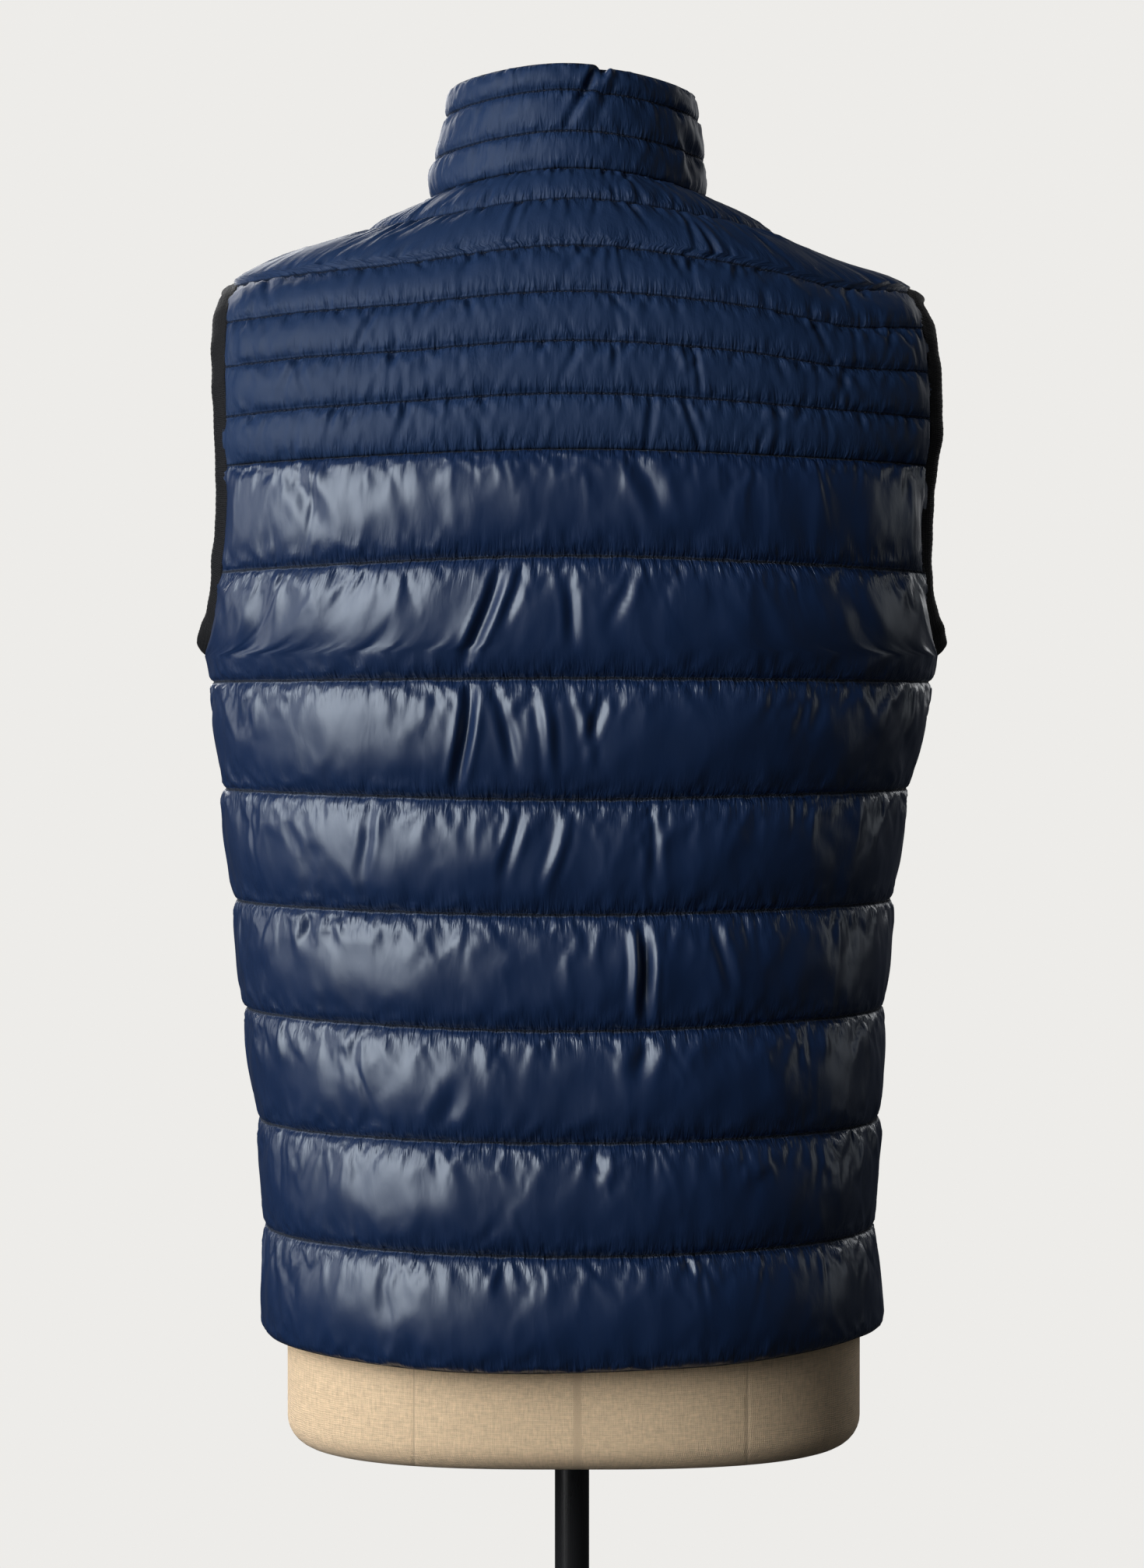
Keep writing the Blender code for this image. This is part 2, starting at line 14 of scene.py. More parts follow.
import bpy
import numpy as np
from bpy.props import FloatProperty, FloatVectorProperty, IntProperty, PointerProperty
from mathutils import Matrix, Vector

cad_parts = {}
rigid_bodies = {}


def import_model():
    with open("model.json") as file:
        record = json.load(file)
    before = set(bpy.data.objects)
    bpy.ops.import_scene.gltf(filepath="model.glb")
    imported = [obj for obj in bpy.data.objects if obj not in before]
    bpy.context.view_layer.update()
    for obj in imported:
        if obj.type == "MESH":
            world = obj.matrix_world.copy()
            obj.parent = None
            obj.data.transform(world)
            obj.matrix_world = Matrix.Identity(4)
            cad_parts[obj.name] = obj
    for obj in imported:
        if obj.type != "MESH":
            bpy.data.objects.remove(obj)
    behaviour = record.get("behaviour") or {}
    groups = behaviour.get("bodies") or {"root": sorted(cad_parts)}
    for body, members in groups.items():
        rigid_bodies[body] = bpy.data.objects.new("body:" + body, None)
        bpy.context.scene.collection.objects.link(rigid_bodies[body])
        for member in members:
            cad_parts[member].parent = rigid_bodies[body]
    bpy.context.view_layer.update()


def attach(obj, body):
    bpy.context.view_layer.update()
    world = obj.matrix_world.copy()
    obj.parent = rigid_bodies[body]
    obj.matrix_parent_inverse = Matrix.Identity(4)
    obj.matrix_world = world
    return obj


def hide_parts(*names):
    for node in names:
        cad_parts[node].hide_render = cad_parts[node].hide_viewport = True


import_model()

bl_info = {
    "name": "Quilted gilet on a dress form",
    "version": (1, 0, 0),
    "blender": (4, 5, 0),
    "location": "3D View > Sidebar > Gilet",
    "description": "Makes the visible cloth, zip, stitches, dress form and studio around a packed model",
    "category": "Object",
}

MM = 0.001

# ---------------------------------------------------------------- the ring surface

ROW_COLUMNS = ("seam", "z_back", "z_side", "z_front", "half_width", "back", "front", "shift", "square")
ROWS = (
    ("hem", 841.5, 846.5, 846.5, 182.5, 129.0, 139.0, -1.0, 2.35),
    ("body_7", 906.0, 909.5, 909.0, 180.0, 127.0, 138.0, 1.5, 2.35),
    ("body_6", 969.5, 972.5, 972.0, 183.5, 124.5, 137.0, 2.0, 2.35),
    ("body_5", 1032.5, 1038.0, 1037.0, 188.5, 122.5, 137.0, 4.5, 2.35),
    ("body_4", 1098.0, 1101.5, 1101.0, 194.0, 123.5, 138.5, 5.0, 2.35),
    ("body_3", 1163.0, 1167.0, 1166.0, 202.0, 128.0, 141.5, 3.5, 2.40),
    ("body_2", 1231.0, 1229.5, 1229.5, 212.0, 134.0, 145.0, 0.5, 2.40),
    ("body_1", 1299.0, 1291.5, 1287.0, 219.5, 138.0, 146.0, 0.0, 2.45),
    ("yoke_seam", 1358.5, 1352.0, 1339.0, 223.5, 136.0, 142.0, -1.0, 2.45),
    ("yoke_e", 1390.0, 1378.5, 1363.0, 227.0, 133.0, 137.0, -1.5, 2.40),
    ("yoke_d", 1420.0, 1406.0, 1385.0, 228.0, 127.0, 130.0, -1.5, 2.35),
    ("yoke_c", 1448.5, 1433.0, 1405.5, 225.0, 118.0, 121.5, -1.0, 2.20),
    ("yoke_b", 1476.0, 1458.0, 1425.0, 205.0, 103.0, 111.0, 0.0, 2.05),
    ("yoke_a", 1505.0, 1491.0, 1444.0, 125.0, 83.0, 98.5, 0.0, 2.00),
    ("neck", 1524.5, 1514.5, 1459.0, 79.0, 68.0, 87.0, 0.0, 2.00),
    ("collar_2", 1546.5, 1537.5, 1484.0, 77.5, 64.0, 86.0, 0.0, 2.00),
    ("collar_1", 1570.5, 1562.0, 1510.0, 74.5, 60.5, 84.5, 0.0, 2.00),
    ("collar_top", 1586.5, 1578.5, 1532.0, 71.5, 57.5, 82.5, 0.0, 2.00),
)
SEAMS = [row[0] for row in ROWS]
HEM, YOKE, NECK, TOP = (SEAMS.index(name) for name in ("hem", "yoke_seam", "neck", "collar_top"))

FORM_COLUMNS = ("seam", "at_side", "at_back", "at_front")
FORM_GAPS = (
    ("hem", 9.5, 14.0, 18.0),
    ("body_7", 9.0, 14.0, 18.0),
    ("body_6", 15.0, 15.0, 20.0),
    ("body_5", 25.0, 16.0, 25.0),
    ("body_4", 30.0, 17.0, 26.0),
    ("body_3", 29.0, 14.0, 19.0),
    ("body_2", 28.0, 10.0, 12.0),
    ("body_1", 30.0, 8.0, 9.0),
    ("yoke_seam", 33.0, 7.0, 8.0),
    ("yoke_e", 36.0, 6.5, 8.0),
    ("yoke_d", 34.0, 6.0, 8.0),
    ("yoke_c", 28.0, 5.0, 7.0),
    ("yoke_b", 19.0, 3.5, 5.0),
    ("yoke_a", 4.0, 1.5, 2.0),
    ("neck", 5.0, 5.0, 5.0),
    ("collar_2", 9.0, 9.0, 9.0),
    ("collar_1", 10.0, 10.0, 10.0),
)

WALL = 3.0 * MM
HALF_GAP = 0.02 * MM
SEAM_LAP = 0.006  # how far neighbouring panels lap under their shared seam, in rows
BOUND_MARGIN = 4.5 * MM  # the flat edge of a panel that its armhole binding covers
SEAM_SINK = 1.0 * MM
ARMHOLE_BOTTOM, ARMHOLE_TOP = 1.246, 1.4635
ARMHOLE_BACK, ARMHOLE_FRONT = 74.0 * MM, 82.0 * MM
ARMHOLE_ROUNDNESS = 2.5
TYPICAL_ROW = 3.5  # the row along which a panel's columns are spaced evenly
ZIP_HALF_WIDTH = 6.0 * MM
TAPE_FACE = -1.0 * MM

# Large folds of the hanging cloth as soft troughs (depth above 0) and ridges (below 0), in
# millimetres, seen square from the back or the front: the x and z of its head, the x and z of its
# foot, its depth and its width.
BACK_FOLDS = (
    (40, 1291, 60, 1236, 4.5, 3),
    (27, 1293, 37, 1262, 2.2, 2.4),
    (4, 1288, -2, 1250, 2, 3),
    (-33, 1290, -22, 1262, 2, 3),
    (57, 1228, 64, 1168, 6, 3),
    (44, 1224, 30, 1180, 2.6, 3),
    (18, 1224, 10, 1178, -2.6, 3),
    (-2, 1222, -12, 1184, -2.2, 2.8),
    (-18, 1226, -8, 1190, 2, 2.6),
    (30, 1158, 38, 1120, 2.4, 2.8),
    (4, 1152, 14, 1112, -2.2, 2.8),
    (115, 1156, 118, 1120, 2, 3),
    (-42, 1158, -48, 1112, 2, 3.2),
    (-40, 1092, -42, 1036, 4.6, 3),
    (-34, 1088, -36, 1046, -2.2, 2.6),
    (-78, 1092, -92, 1056, 2, 3),
    (152, 1098, 150, 1080, 3, 4),
    (-40, 1028, -38, 1008, 4, 5),
    (66, 1000, 74, 978, 2.5, 5),
    (-12, 976, -14, 955, 3, 4),
    (43, 904, 36, 890, 2.5, 4),
    (160, 1346, 138, 1318, 3, 5),
    (-35, 1352, -52, 1322, 2.5, 5),
    (-150, 1290, -170, 1252, 1.6, 5),
    (175, 1284, 182, 1244, 2.5, 5),
)
COLLAR_FOLDS = (
    (-17, 1592, 3, 1548, 4.5, 1.9),
    (-24, 1592, -6, 1552, -2.6, 3.6),
    (-66, 1548, -72, 1526, 4.5, 3),
    (-12, 1552, -40, 1544, 1.6, 3.5),
    (30, 1566, 44, 1556, 1.4, 3.5),
)
FRONT_FOLDS = (
    (60, 1282, 74, 1236, 4.5, 6),
    (-84, 1284, -70, 1240, 4, 6),
    (38, 1222, 46, 1178, 3, 5),
    (-48, 1224, -40, 1176, 3.5, 5.5),
    (92, 1160, 82, 1110, 3, 5.5),
    (-30, 1158, -36, 1112, 3, 5),
    (52, 1094, 50, 1046, -3, 5),
    (-98, 1092, -86, 1050, 3, 5.5),
    (34, 1030, 40, 1000, 3, 4.5),
    (-60, 1026, -56, 990, -2.5, 5),
    (110, 964, 104, 930, 2.5, 5),
    (-42, 966, -40, 940, 3, 4.5),
)


def smooth_column(values):
    """A monotone cubic through the values at 0, 1, 2 …, read for an array of row numbers."""
    values = np.array(values, float)
    step = np.diff(values)
    slope = np.concatenate([step[:1], np.zeros(len(step) - 1), step[-1:]])
    rising = step[:-1] * step[1:] > 0
    slope[1:-1][rising] = (2 * step[:-1] * step[1:])[rising] / (step[:-1] + step[1:])[rising]

    def read(rows):
        i = np.clip(np.floor(rows).astype(int), 0, len(step) - 1)
        t = rows - i
        held = (1 + 2 * t) * (1 - t) ** 2 * values[i] + t * t * (3 - 2 * t) * values[i + 1]
        return held + t * (1 - t) ** 2 * slope[i] - t * t * (1 - t) * slope[i + 1]

    return read


def smooth_columns(names, rows):
    """One smooth column for each name but the first; all are lengths except the exponent."""
    return {
        name: smooth_column([row[k] * (1 if name == "square" else MM) for row in rows])
        for k, name in enumerate(names)
        if k
    }


RING = smooth_columns(ROW_COLUMNS, ROWS)
FORM_GAP = smooth_columns(FORM_COLUMNS, FORM_GAPS)


def bell(values, centre, width):
    return np.exp(-(((values - centre) / width) ** 2))


def ramped(values, start, run):
    """0 up to start, then evenly up to 1 over the run."""
    return np.clip((values - start) / run, 0, 1)


def matched(rows, theta):
    return np.broadcast_arrays(np.asarray(rows, float), np.asarray(theta, float))


def running(steps):
    """The distance run before each step, and after the last."""
    return np.concatenate([[0], np.cumsum(steps)])


def travelled(points):
    return running(np.linalg.norm(np.diff(points, axis=0), axis=-1))


def unit(vectors):
    return vectors / np.linalg.norm(vectors, axis=-1, keepdims=True)


def settled(points):
    """Hangs the evenly drafted shape as it is worn: one shoulder hollow, the collar leaning and flared."""
    x, z = points[..., 0], points[..., 2]
    rise = 2.4 * ramped(x, 0.09, 0.06) * ramped(z, 1.36, 0.05)
    rise -= 5.5 * bell(x, -0.155, 0.036) * ramped(z, 1.38, 0.05)
    rise += 1.8 * x / 0.07 * ramped(z, 1.53, 0.05)
    wider = 5.5 * bell(z, 1.527, 0.018) * ramped(x, 0, 0.07) ** 2
    wider -= 4.0 * bell(z, 1.375, 0.045) * ramped(-x, 0.1, 0.1)
    moved = points.copy()
    moved[..., 2] += rise * MM
    moved[..., 0] += wider * MM
    return moved


def hung(points):
    """Lets the back's hem dip on the wearer's left and ride up towards the right side seam."""
    x, z = points[..., 0], points[..., 2]
    dip = 2.6 * bell(x, 0.075, 0.075) - 4.5 * ramped(-x, 0.075, 0.09) ** 1.5
    moved = points.copy()
    moved[..., 2] -= ramped(-z, -0.905, 0.062) * dip * MM
    return moved


def notched(points):
    """Dips the collar's top edge where its crease starts, and lets the cloth past it ride up outwards."""
    x, y, z = points[..., 0], points[..., 1], points[..., 2]
    high = ramped(z, 1.560, 0.026) * (y > 0)
    notch = bell(x, -0.0178, 0.0026)
    past = 1 / (1 + np.exp((x + 0.0195) / 0.0012)) * np.exp((x + 0.0195) / 0.030)
    past = np.minimum(past, 1)
    moved = points.copy()
    moved[..., 2] -= high * (4.0 * notch + 1.6 * past) * MM
    moved[..., 1] += high * (1.8 * past - 1.6 * notch) * MM
    return moved


def ring_points(rows, theta):
    """Points of the seam surface, for arrays of row numbers and angles of one shape."""
    rows, theta = matched(rows, theta)
    sine, cosine = np.sin(theta), np.cos(theta)
    behind = cosine >= 0
    depth = np.where(behind, RING["back"](rows), RING["front"](rows))
    square = RING["square"](rows)
    reach = (np.abs(sine) / RING["half_width"](rows)) ** square + (np.abs(cosine) / depth) ** square
    reach = reach ** (-1 / square)
    side = RING["z_side"](rows)
    middle = np.where(behind, RING["z_back"](rows), RING["z_front"](rows))
    height = side + (middle - side) * cosine**2
    return settled(np.stack([RING["shift"](rows) + reach * sine, reach * cosine, height], axis=-1))


def ring_normals(rows, theta, step=0.02):
    rows, theta = matched(rows, theta)
    up = ring_points(rows + step, theta) - ring_points(rows - step, theta)
    along = ring_points(rows, theta + step) - ring_points(rows, theta - step)
    return unit(np.cross(up, along))


def cloth_points(rows, theta, offset):
    return ring_points(rows, theta) + ring_normals(rows, theta) * np.asarray(offset)[..., None]


# ---------------------------------------------------------------- where the panels reach


def halved(low, high, under):
    """Halves the range from low to high, number or array, to where under(middle) stops being true."""
    for _ in range(40):
        middle = (low + high) / 2
        below = under(middle)
        low, high = np.where(below, middle, low), np.where(below, high, middle)
    return low


def row_at_side_height(height, low, high):
    return float(halved(low, high, lambda row: RING["z_side"](np.array(row)) < height))


ARMHOLE_FIRST = row_at_side_height(ARMHOLE_BOTTOM, HEM, YOKE)
ARMHOLE_LAST = row_at_side_height(ARMHOLE_TOP, YOKE, NECK)


def armhole_angles(rows, behind):
    """How far round from the centre back or the centre front a panel reaches at each row."""
    rows = np.asarray(rows, float)
    middle, half = (ARMHOLE_TOP + ARMHOLE_BOTTOM) / 2, (ARMHOLE_TOP - ARMHOLE_BOTTOM) / 2
    width = ARMHOLE_BACK if behind else ARMHOLE_FRONT

    def outside(angle):
        point = ring_points(rows, angle if behind else math.pi - angle)
        share = np.minimum(np.abs(point[..., 2] - middle) / half, 1.0)
        edge = width * (1 - share**ARMHOLE_ROUNDNESS) ** (1 / ARMHOLE_ROUNDNESS)
        return np.abs(point[..., 1]) > edge

    angle = halved(np.full(rows.shape, math.radians(20)), np.full(rows.shape, math.pi / 2), outside)
    open_here = (rows > ARMHOLE_FIRST) & (rows < ARMHOLE_LAST)
    return np.where(open_here, angle, math.pi / 2 - HALF_GAP / RING["half_width"](rows))


def zip_angles(rows, distance):
    return np.arcsin(distance / RING["front"](np.asarray(rows, float)))


def even_shares(first, last, count):
    """Shares of the angle from first to last that space the columns evenly along a typical ring."""
    angles = np.linspace(first, last, 400)
    run = travelled(ring_points(TYPICAL_ROW, angles))
    return (np.interp(np.linspace(0, run[-1], count + 1), run, angles) - first) / (last - first)


def back_angles(rows, columns):
    shares = even_shares(-math.pi / 2, math.pi / 2, columns)
    edge = armhole_angles(rows, behind=True)[:, None]
    return edge * (2 * shares - 1)[None, :]


def left_front_angles(rows, columns):
    shares = even_shares(math.pi / 2, math.pi, columns)
    side = (math.pi - armhole_angles(rows, behind=False))[:, None]
    middle = (math.pi - zip_angles(rows, ZIP_HALF_WIDTH))[:, None]
    return side + (middle - side) * shares[None, :]


def right_front_angles(rows, columns):
    return -left_front_angles(rows, columns)[:, ::-1]


def collar_angles(rows, columns):
    edge = (math.pi - zip_angles(rows, ZIP_HALF_WIDTH))[:, None]
    return edge * np.linspace(-1, 1, columns + 1)[None, :]


# ---------------------------------------------------------------- settings


def length(name, description, default):
    return FloatProperty(name=name, description=description, default=default, unit="LENGTH")


def colour(name, description, default):
    return FloatVectorProperty(name=name, description=description, default=default, subtype="COLOR")


class GiletSizes(bpy.types.PropertyGroup):
    body_puff: length("Body puff", "How far a body channel swells past its seams", 12.0 * MM)
    yoke_puff: length("Yoke puff", "The same for the narrow channels of the yokes", 4.4 * MM)
    collar_puff: length("Collar puff", "The same for the collar's channels", 3.3 * MM)
    cloth_step: length("Cloth grid", "Spacing of the simulated cloth's columns", 2.6 * MM)
    cloth_frames: IntProperty(
        name="Cloth frames", description="Frames that the shells are blown up for", default=16, min=1,
    )
    stitch_pitch: length("Stitch pitch", "Distance from one stitch to the next", 3.3 * MM)
    stitch_length: length("Stitch length", "Length of thread that shows", 2.2 * MM)
    tooth_pitch: length("Tooth pitch", "Distance from one zip tooth to the next", 2.6 * MM)


class GiletColours(bpy.types.PropertyGroup):
    gloss: colour("Glossy nylon", "Colour of the body's shell", (0.0042, 0.0155, 0.0545))
    satin: colour("Satin nylon", "Colour of the yokes and the collar", (0.0056, 0.0196, 0.0620))
    elastic: colour("Elastic", "Colour of the armhole bindings", (0.0035, 0.0040, 0.0055))
    linen: colour("Linen", "Colour of the dress form's cover", (0.6500, 0.4900, 0.3180))
    steel: colour("Black steel", "Colour of the pole and the foot", (0.0120, 0.0125, 0.0140))
    backdrop: colour("Backdrop", "Colour of the floor and of the air behind", (0.8490, 0.8380, 0.8155))


# ---------------------------------------------------------------- materials

SEAM_NEARNESS = "seam_nearness"  # a point attribute: 1 on a stitched seam, fading away from it
SEAM_SHADE_FROM, SEAM_SHADE_FULL = 0.74, 0.93  # the nearness at which the painted seam shade and the duller gloss start, and are full
RIB, COURSE = 0.0011, 0.0009  # the elastic's ribs and courses, from one to the next
SLUB = 0.35  # how uneven a woven colour is
LINEN_SEAMS = (0.090, -0.100)


class Nodes:
    """A short way to add nodes to a tree and link them."""

    def __init__(self, tree):
        self.tree = tree

    def fill(self, node, inputs):
        """Links or sets a node's inputs, by name or number."""
        for socket, value in inputs.items():
            if isinstance(value, bpy.types.NodeSocket):
                self.tree.links.new(value, node.inputs[socket])
            else:
                node.inputs[socket].default_value = value
        return node

    def add(self, kind, inputs=None, **settings):
        node = self.tree.nodes.new(kind)
        for name, value in settings.items():
            setattr(node, name, value)
        return self.fill(node, inputs or {})

    def math(self, operation, *values):
        return self.add("ShaderNodeMath", dict(enumerate(values)), operation=operation).outputs[0]

    def times(self, *values):
        return self.math("MULTIPLY", *values)

    def plus(self, *values):
        return self.math("ADD", *values)

    def wave(self, value, length):
        return self.math("SINE", self.times(value, 2 * math.pi / length))

    def parts(self, vector):
        return self.add("ShaderNodeSeparateXYZ", {"Vector": vector}).outputs

    def noise(self, coordinates, scale, detail=3.0, roughness=0.5, distortion=0.0):
        inputs = {"Vector": coordinates, "Scale": scale, "Detail": detail, "Roughness": roughness}
        return self.add("ShaderNodeTexNoise", {**inputs, "Distortion": distortion}).outputs["Fac"]

    def mapped(self, coordinates, scale):
        return self.add("ShaderNodeMapping", {"Vector": coordinates, "Scale": scale}).outputs["Vector"]

    def between(self, factor, low, high):
        """A colour from low, a colour or a socket, to the colour high."""
        low = low if isinstance(low, bpy.types.NodeSocket) else (*low, 1)
        node = self.add("ShaderNodeMix", {"Factor": factor}, data_type="RGBA")
        return self.fill(node, {6: low, 7: (*high, 1)}).outputs[2]

    def mottled(self, factor, colour, low, high):
        return self.between(factor, tinted(colour, low), tinted(colour, high))

    def ramp(self, value, low, high):
        """0 where the value is under low, 1 where it is over high."""
        inputs = {"Value": value, "From Min": low, "From Max": high}
        return self.add("ShaderNodeMapRange", inputs, interpolation_type="SMOOTHSTEP").outputs["Result"]

    def spread(self, factor, low, high):
        inputs = {"Value": factor, "To Min": low, "To Max": high}
        return self.add("ShaderNodeMapRange", inputs).outputs["Result"]

    def bumps(self, *layers):
        """A normal from stacked bump layers of (height socket, strength, distance)."""
        stacked = {}
        for layer in layers:
            inputs = {**dict(zip(("Height", "Strength", "Distance"), layer)), **stacked}
            stacked = {"Normal": self.add("ShaderNodeBump", inputs).outputs["Normal"]}
        return stacked


def tinted(colour, factor):
    return tuple(channel * factor for channel in colour)


def new_material(name):
    """A material, its nodes, its shader and the texture coordinates."""
    made = bpy.data.materials.new(name)
    made.use_nodes = True
    nodes = Nodes(made.node_tree)
    shader = made.node_tree.nodes["Principled BSDF"]
    return made, nodes, shader, nodes.add("ShaderNodeTexCoord").outputs


def nylon(name, colour, roughness, specular, crinkle):
    """Down-proof nylon: a tight smooth shell with fine crinkles, gathered along its seams, where its gloss
    is dulled and painted shade darkens it.
    """
    made, nodes, shader, place = new_material(name)
    near = nodes.add("ShaderNodeAttribute", attribute_name=SEAM_NEARNESS).outputs["Fac"]
    # Painted shade along the seams: there the base colour darkens to three tenths, standing in for the
    # shadow of the thread and of the seam's gap, and the gloss is dulled.
    at_seams = nodes.ramp(near, SEAM_SHADE_FROM, SEAM_SHADE_FULL)
    flutes = nodes.noise(nodes.mapped(place["UV"], (1.0, 0.2, 1.0)), 380.0, 2.0, 0.55, 0.5)
    flutes = nodes.times(nodes.math("SUBTRACT", flutes, 0.5), nodes.math("POWER", near, 0.8))
    upright = nodes.mapped(place["Object"], (1.0, 1.0, 0.45))
    crinkles = nodes.noise(upright, 70.0, 3.0, 0.55, 0.6)
    creases = nodes.noise(upright, 190.0, 2.0, 0.5, 1.2)
    weave = nodes.noise(place["Object"], 1500.0, 1.0)
    shade = nodes.mottled(nodes.noise(place["Object"], 9.0, 2.0), colour, 0.86, 1.14)
    gloss = nodes.spread(crinkles, roughness - 0.05, roughness + 0.07)
    nodes.fill(shader, {
        # Base colour with the painted seam shade.
        "Base Color": nodes.between(at_seams, shade, tinted(colour, 0.3)),
        "Roughness": nodes.plus(gloss, nodes.times(at_seams, 0.6)),
        "Specular IOR Level": specular,
        "Specular Tint": (0.84, 0.93, 1.0, 1.0),
        **nodes.bumps(
            (flutes, 1.0, 0.0024), (crinkles, crinkle, 0.0012),
            (creases, crinkle * 0.6, 0.0004), (weave, 0.10, 0.00008),
        ),
    })
    return made


def elastic(name, colour):
    """Ribbed elastic: ribs run across the band, whose length is the UV map's first axis."""
    made, nodes, shader, place = new_material(name)
    along = nodes.parts(place["UV"])
    ribs, courses = nodes.wave(along["X"], RIB), nodes.wave(along["Y"], COURSE)
    fuzz = nodes.noise(place["Object"], 900.0, 2.0)
    nodes.fill(shader, {
        "Base Color": nodes.mottled(nodes.spread(ribs, 0.35, 0.65), colour, 0.6, 1.7),
        "Roughness": 0.75,
        "Specular IOR Level": 0.22,
        **nodes.bumps((ribs, 0.55, 0.0003), (courses, 0.3, 0.00015), (fuzz, 0.3, 0.0001)),
    })
    return made


def woven(name, colour, pitch, roughness, seams=()):
    """Plain weave on the UV map, in metres, with slubs in uneven colour and upright seams at the given x."""
    made, nodes, shader, place = new_material(name)
    along = nodes.parts(place["UV"])
    wobble = nodes.times(nodes.noise(place["UV"], 160.0, 2.0), pitch * 1.4)
    warp, weft = (nodes.wave(nodes.plus(along[axis], wobble), pitch) for axis in "XY")
    cloth = nodes.math("MAXIMUM", warp, weft)
    slubs = [
        nodes.noise(nodes.mapped(place["UV"], scale), 1.0 / pitch * 0.8, 2.0, 0.6)
        for scale in ((1.0, 0.22, 1.0), (0.22, 1.0, 1.0))
    ]
    threads = nodes.times(nodes.plus(*slubs), 0.5)
    blotch = nodes.noise(place["Object"], 7.0, 3.0)
    tone = nodes.plus(nodes.times(threads, 0.8), nodes.times(blotch, 0.2))
    tone = nodes.plus(tone, nodes.times(cloth, 0.06))
    shade = nodes.mottled(nodes.spread(tone, -0.6, 1.6), colour, 1 - SLUB, 1 + SLUB * 0.8)
    layers = [(cloth, 0.5, 0.00025), (threads, 0.6, 0.0004), (nodes.times(warp, weft), 0.2, 0.0001)]
    for seam in seams:
        away = nodes.math("ABSOLUTE", nodes.math("SUBTRACT", nodes.parts(place["Object"])["X"], seam))
        shade = nodes.between(nodes.ramp(away, 0.0007, 0.0002), shade, tinted(colour, 0.78))
        layers.append((nodes.ramp(away, 0.0, 0.0022), 0.3, 0.0008))
    nodes.fill(shader, {
        "Base Color": shade, "Roughness": roughness, "Sheen Weight": 0.1, **nodes.bumps(*layers),
    })
    return made


def painted_metal(name, colour, roughness, metallic=0.0):
    """Satin paint or enamel with a faint orange peel and rubbed patches."""
    made, nodes, shader, place = new_material(name)
    peel = nodes.noise(place["Object"], 650.0, 2.0)
    rubbed = nodes.noise(nodes.mapped(place["Object"], (1.0, 1.0, 0.12)), 45.0, 4.0, 0.6)
    nodes.fill(shader, {
        "Base Color": nodes.mottled(rubbed, colour, 0.88, 1.15),
        "Roughness": nodes.spread(rubbed, roughness - 0.03, roughness + 0.06),
        "Metallic": metallic,
        **nodes.bumps((peel, 0.10, 0.0001)),
    })
    return made


def plain_paint(name, colour, roughness, glow=(0, 0, 0)):
    made, nodes, shader, place = new_material(name)
    nodes.fill(shader, {
        "Base Color": nodes.mottled(nodes.noise(place["Object"], 3.0, 2.0), colour, 0.985, 1.015),
        "Roughness": roughness,
        "Emission Color": (*glow, 1),
        "Emission Strength": 1.0,
    })
    return made


MATERIALS = {}


def finish_materials(colours):
    """Makes every material once, from the colours in the scene's settings."""
    if MATERIALS:
        return
    for name, finish, *look in (
        ("gloss_nylon", nylon, colours.gloss, 0.36, 0.68, 0.22),
        ("satin_nylon", nylon, colours.satin, 0.60, 0.27, 0.50),
        ("rib_elastic", elastic, colours.elastic),
        ("zip_tape", woven, tinted(colours.satin, 0.5), 0.0009, 0.75),
        ("thread", plain_paint, tinted(colours.satin, 0.35), 0.6),
        ("zip_metal", painted_metal, tinted(colours.steel, 1.6), 0.34, 0.5),
        ("linen", woven, colours.linen, 0.00115, 0.9, LINEN_SEAMS),
        ("black_steel", painted_metal, colours.steel, 0.26),
    ):
        MATERIALS[name] = finish(name, *look)


# ---------------------------------------------------------------- meshes


def link(name, mesh, material=None):
    made = bpy.data.objects.new(name, mesh)
    bpy.context.scene.collection.objects.link(made)
    if material:
        mesh.materials.append(material)
    return made


def declared(piece, slot, node=None):
    """Hangs a finished piece on the root body and hides the construction part it replaces; the slot is not
    used.
    """
    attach(piece, "root")
    if node:
        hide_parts(node)


def mesh_from(name, points, faces, uv=None, smooth=True):
    """A mesh from arrays; uv holds one pair for each point."""
    mesh = bpy.data.meshes.new(name)
    mesh.from_pydata([tuple(point) for point in points], [], faces)
    if uv is not None:
        layer = mesh.uv_layers.new(name="UVMap")
        corners = np.empty(len(mesh.loops), np.int32)
        mesh.loops.foreach_get("vertex_index", corners)
        layer.data.foreach_set("uv", np.asarray(uv, np.float32)[corners].ravel())
    mesh.validate()
    if smooth:
        mesh.shade_smooth()
    mesh.update()
    return mesh


def grid_faces(rows, columns, start=0, flip=False, wrap=False):
    """Quads of a grid whose points run along its columns first."""
    faces = []
    for r in range(rows - 1):
        for c in range(columns - (0 if wrap else 1)):
            a, b = start + r * columns + c, start + r * columns + (c + 1) % columns
            face = (a, b, b + columns, a + columns)
            faces.append(face[::-1] if flip else face)
    return faces


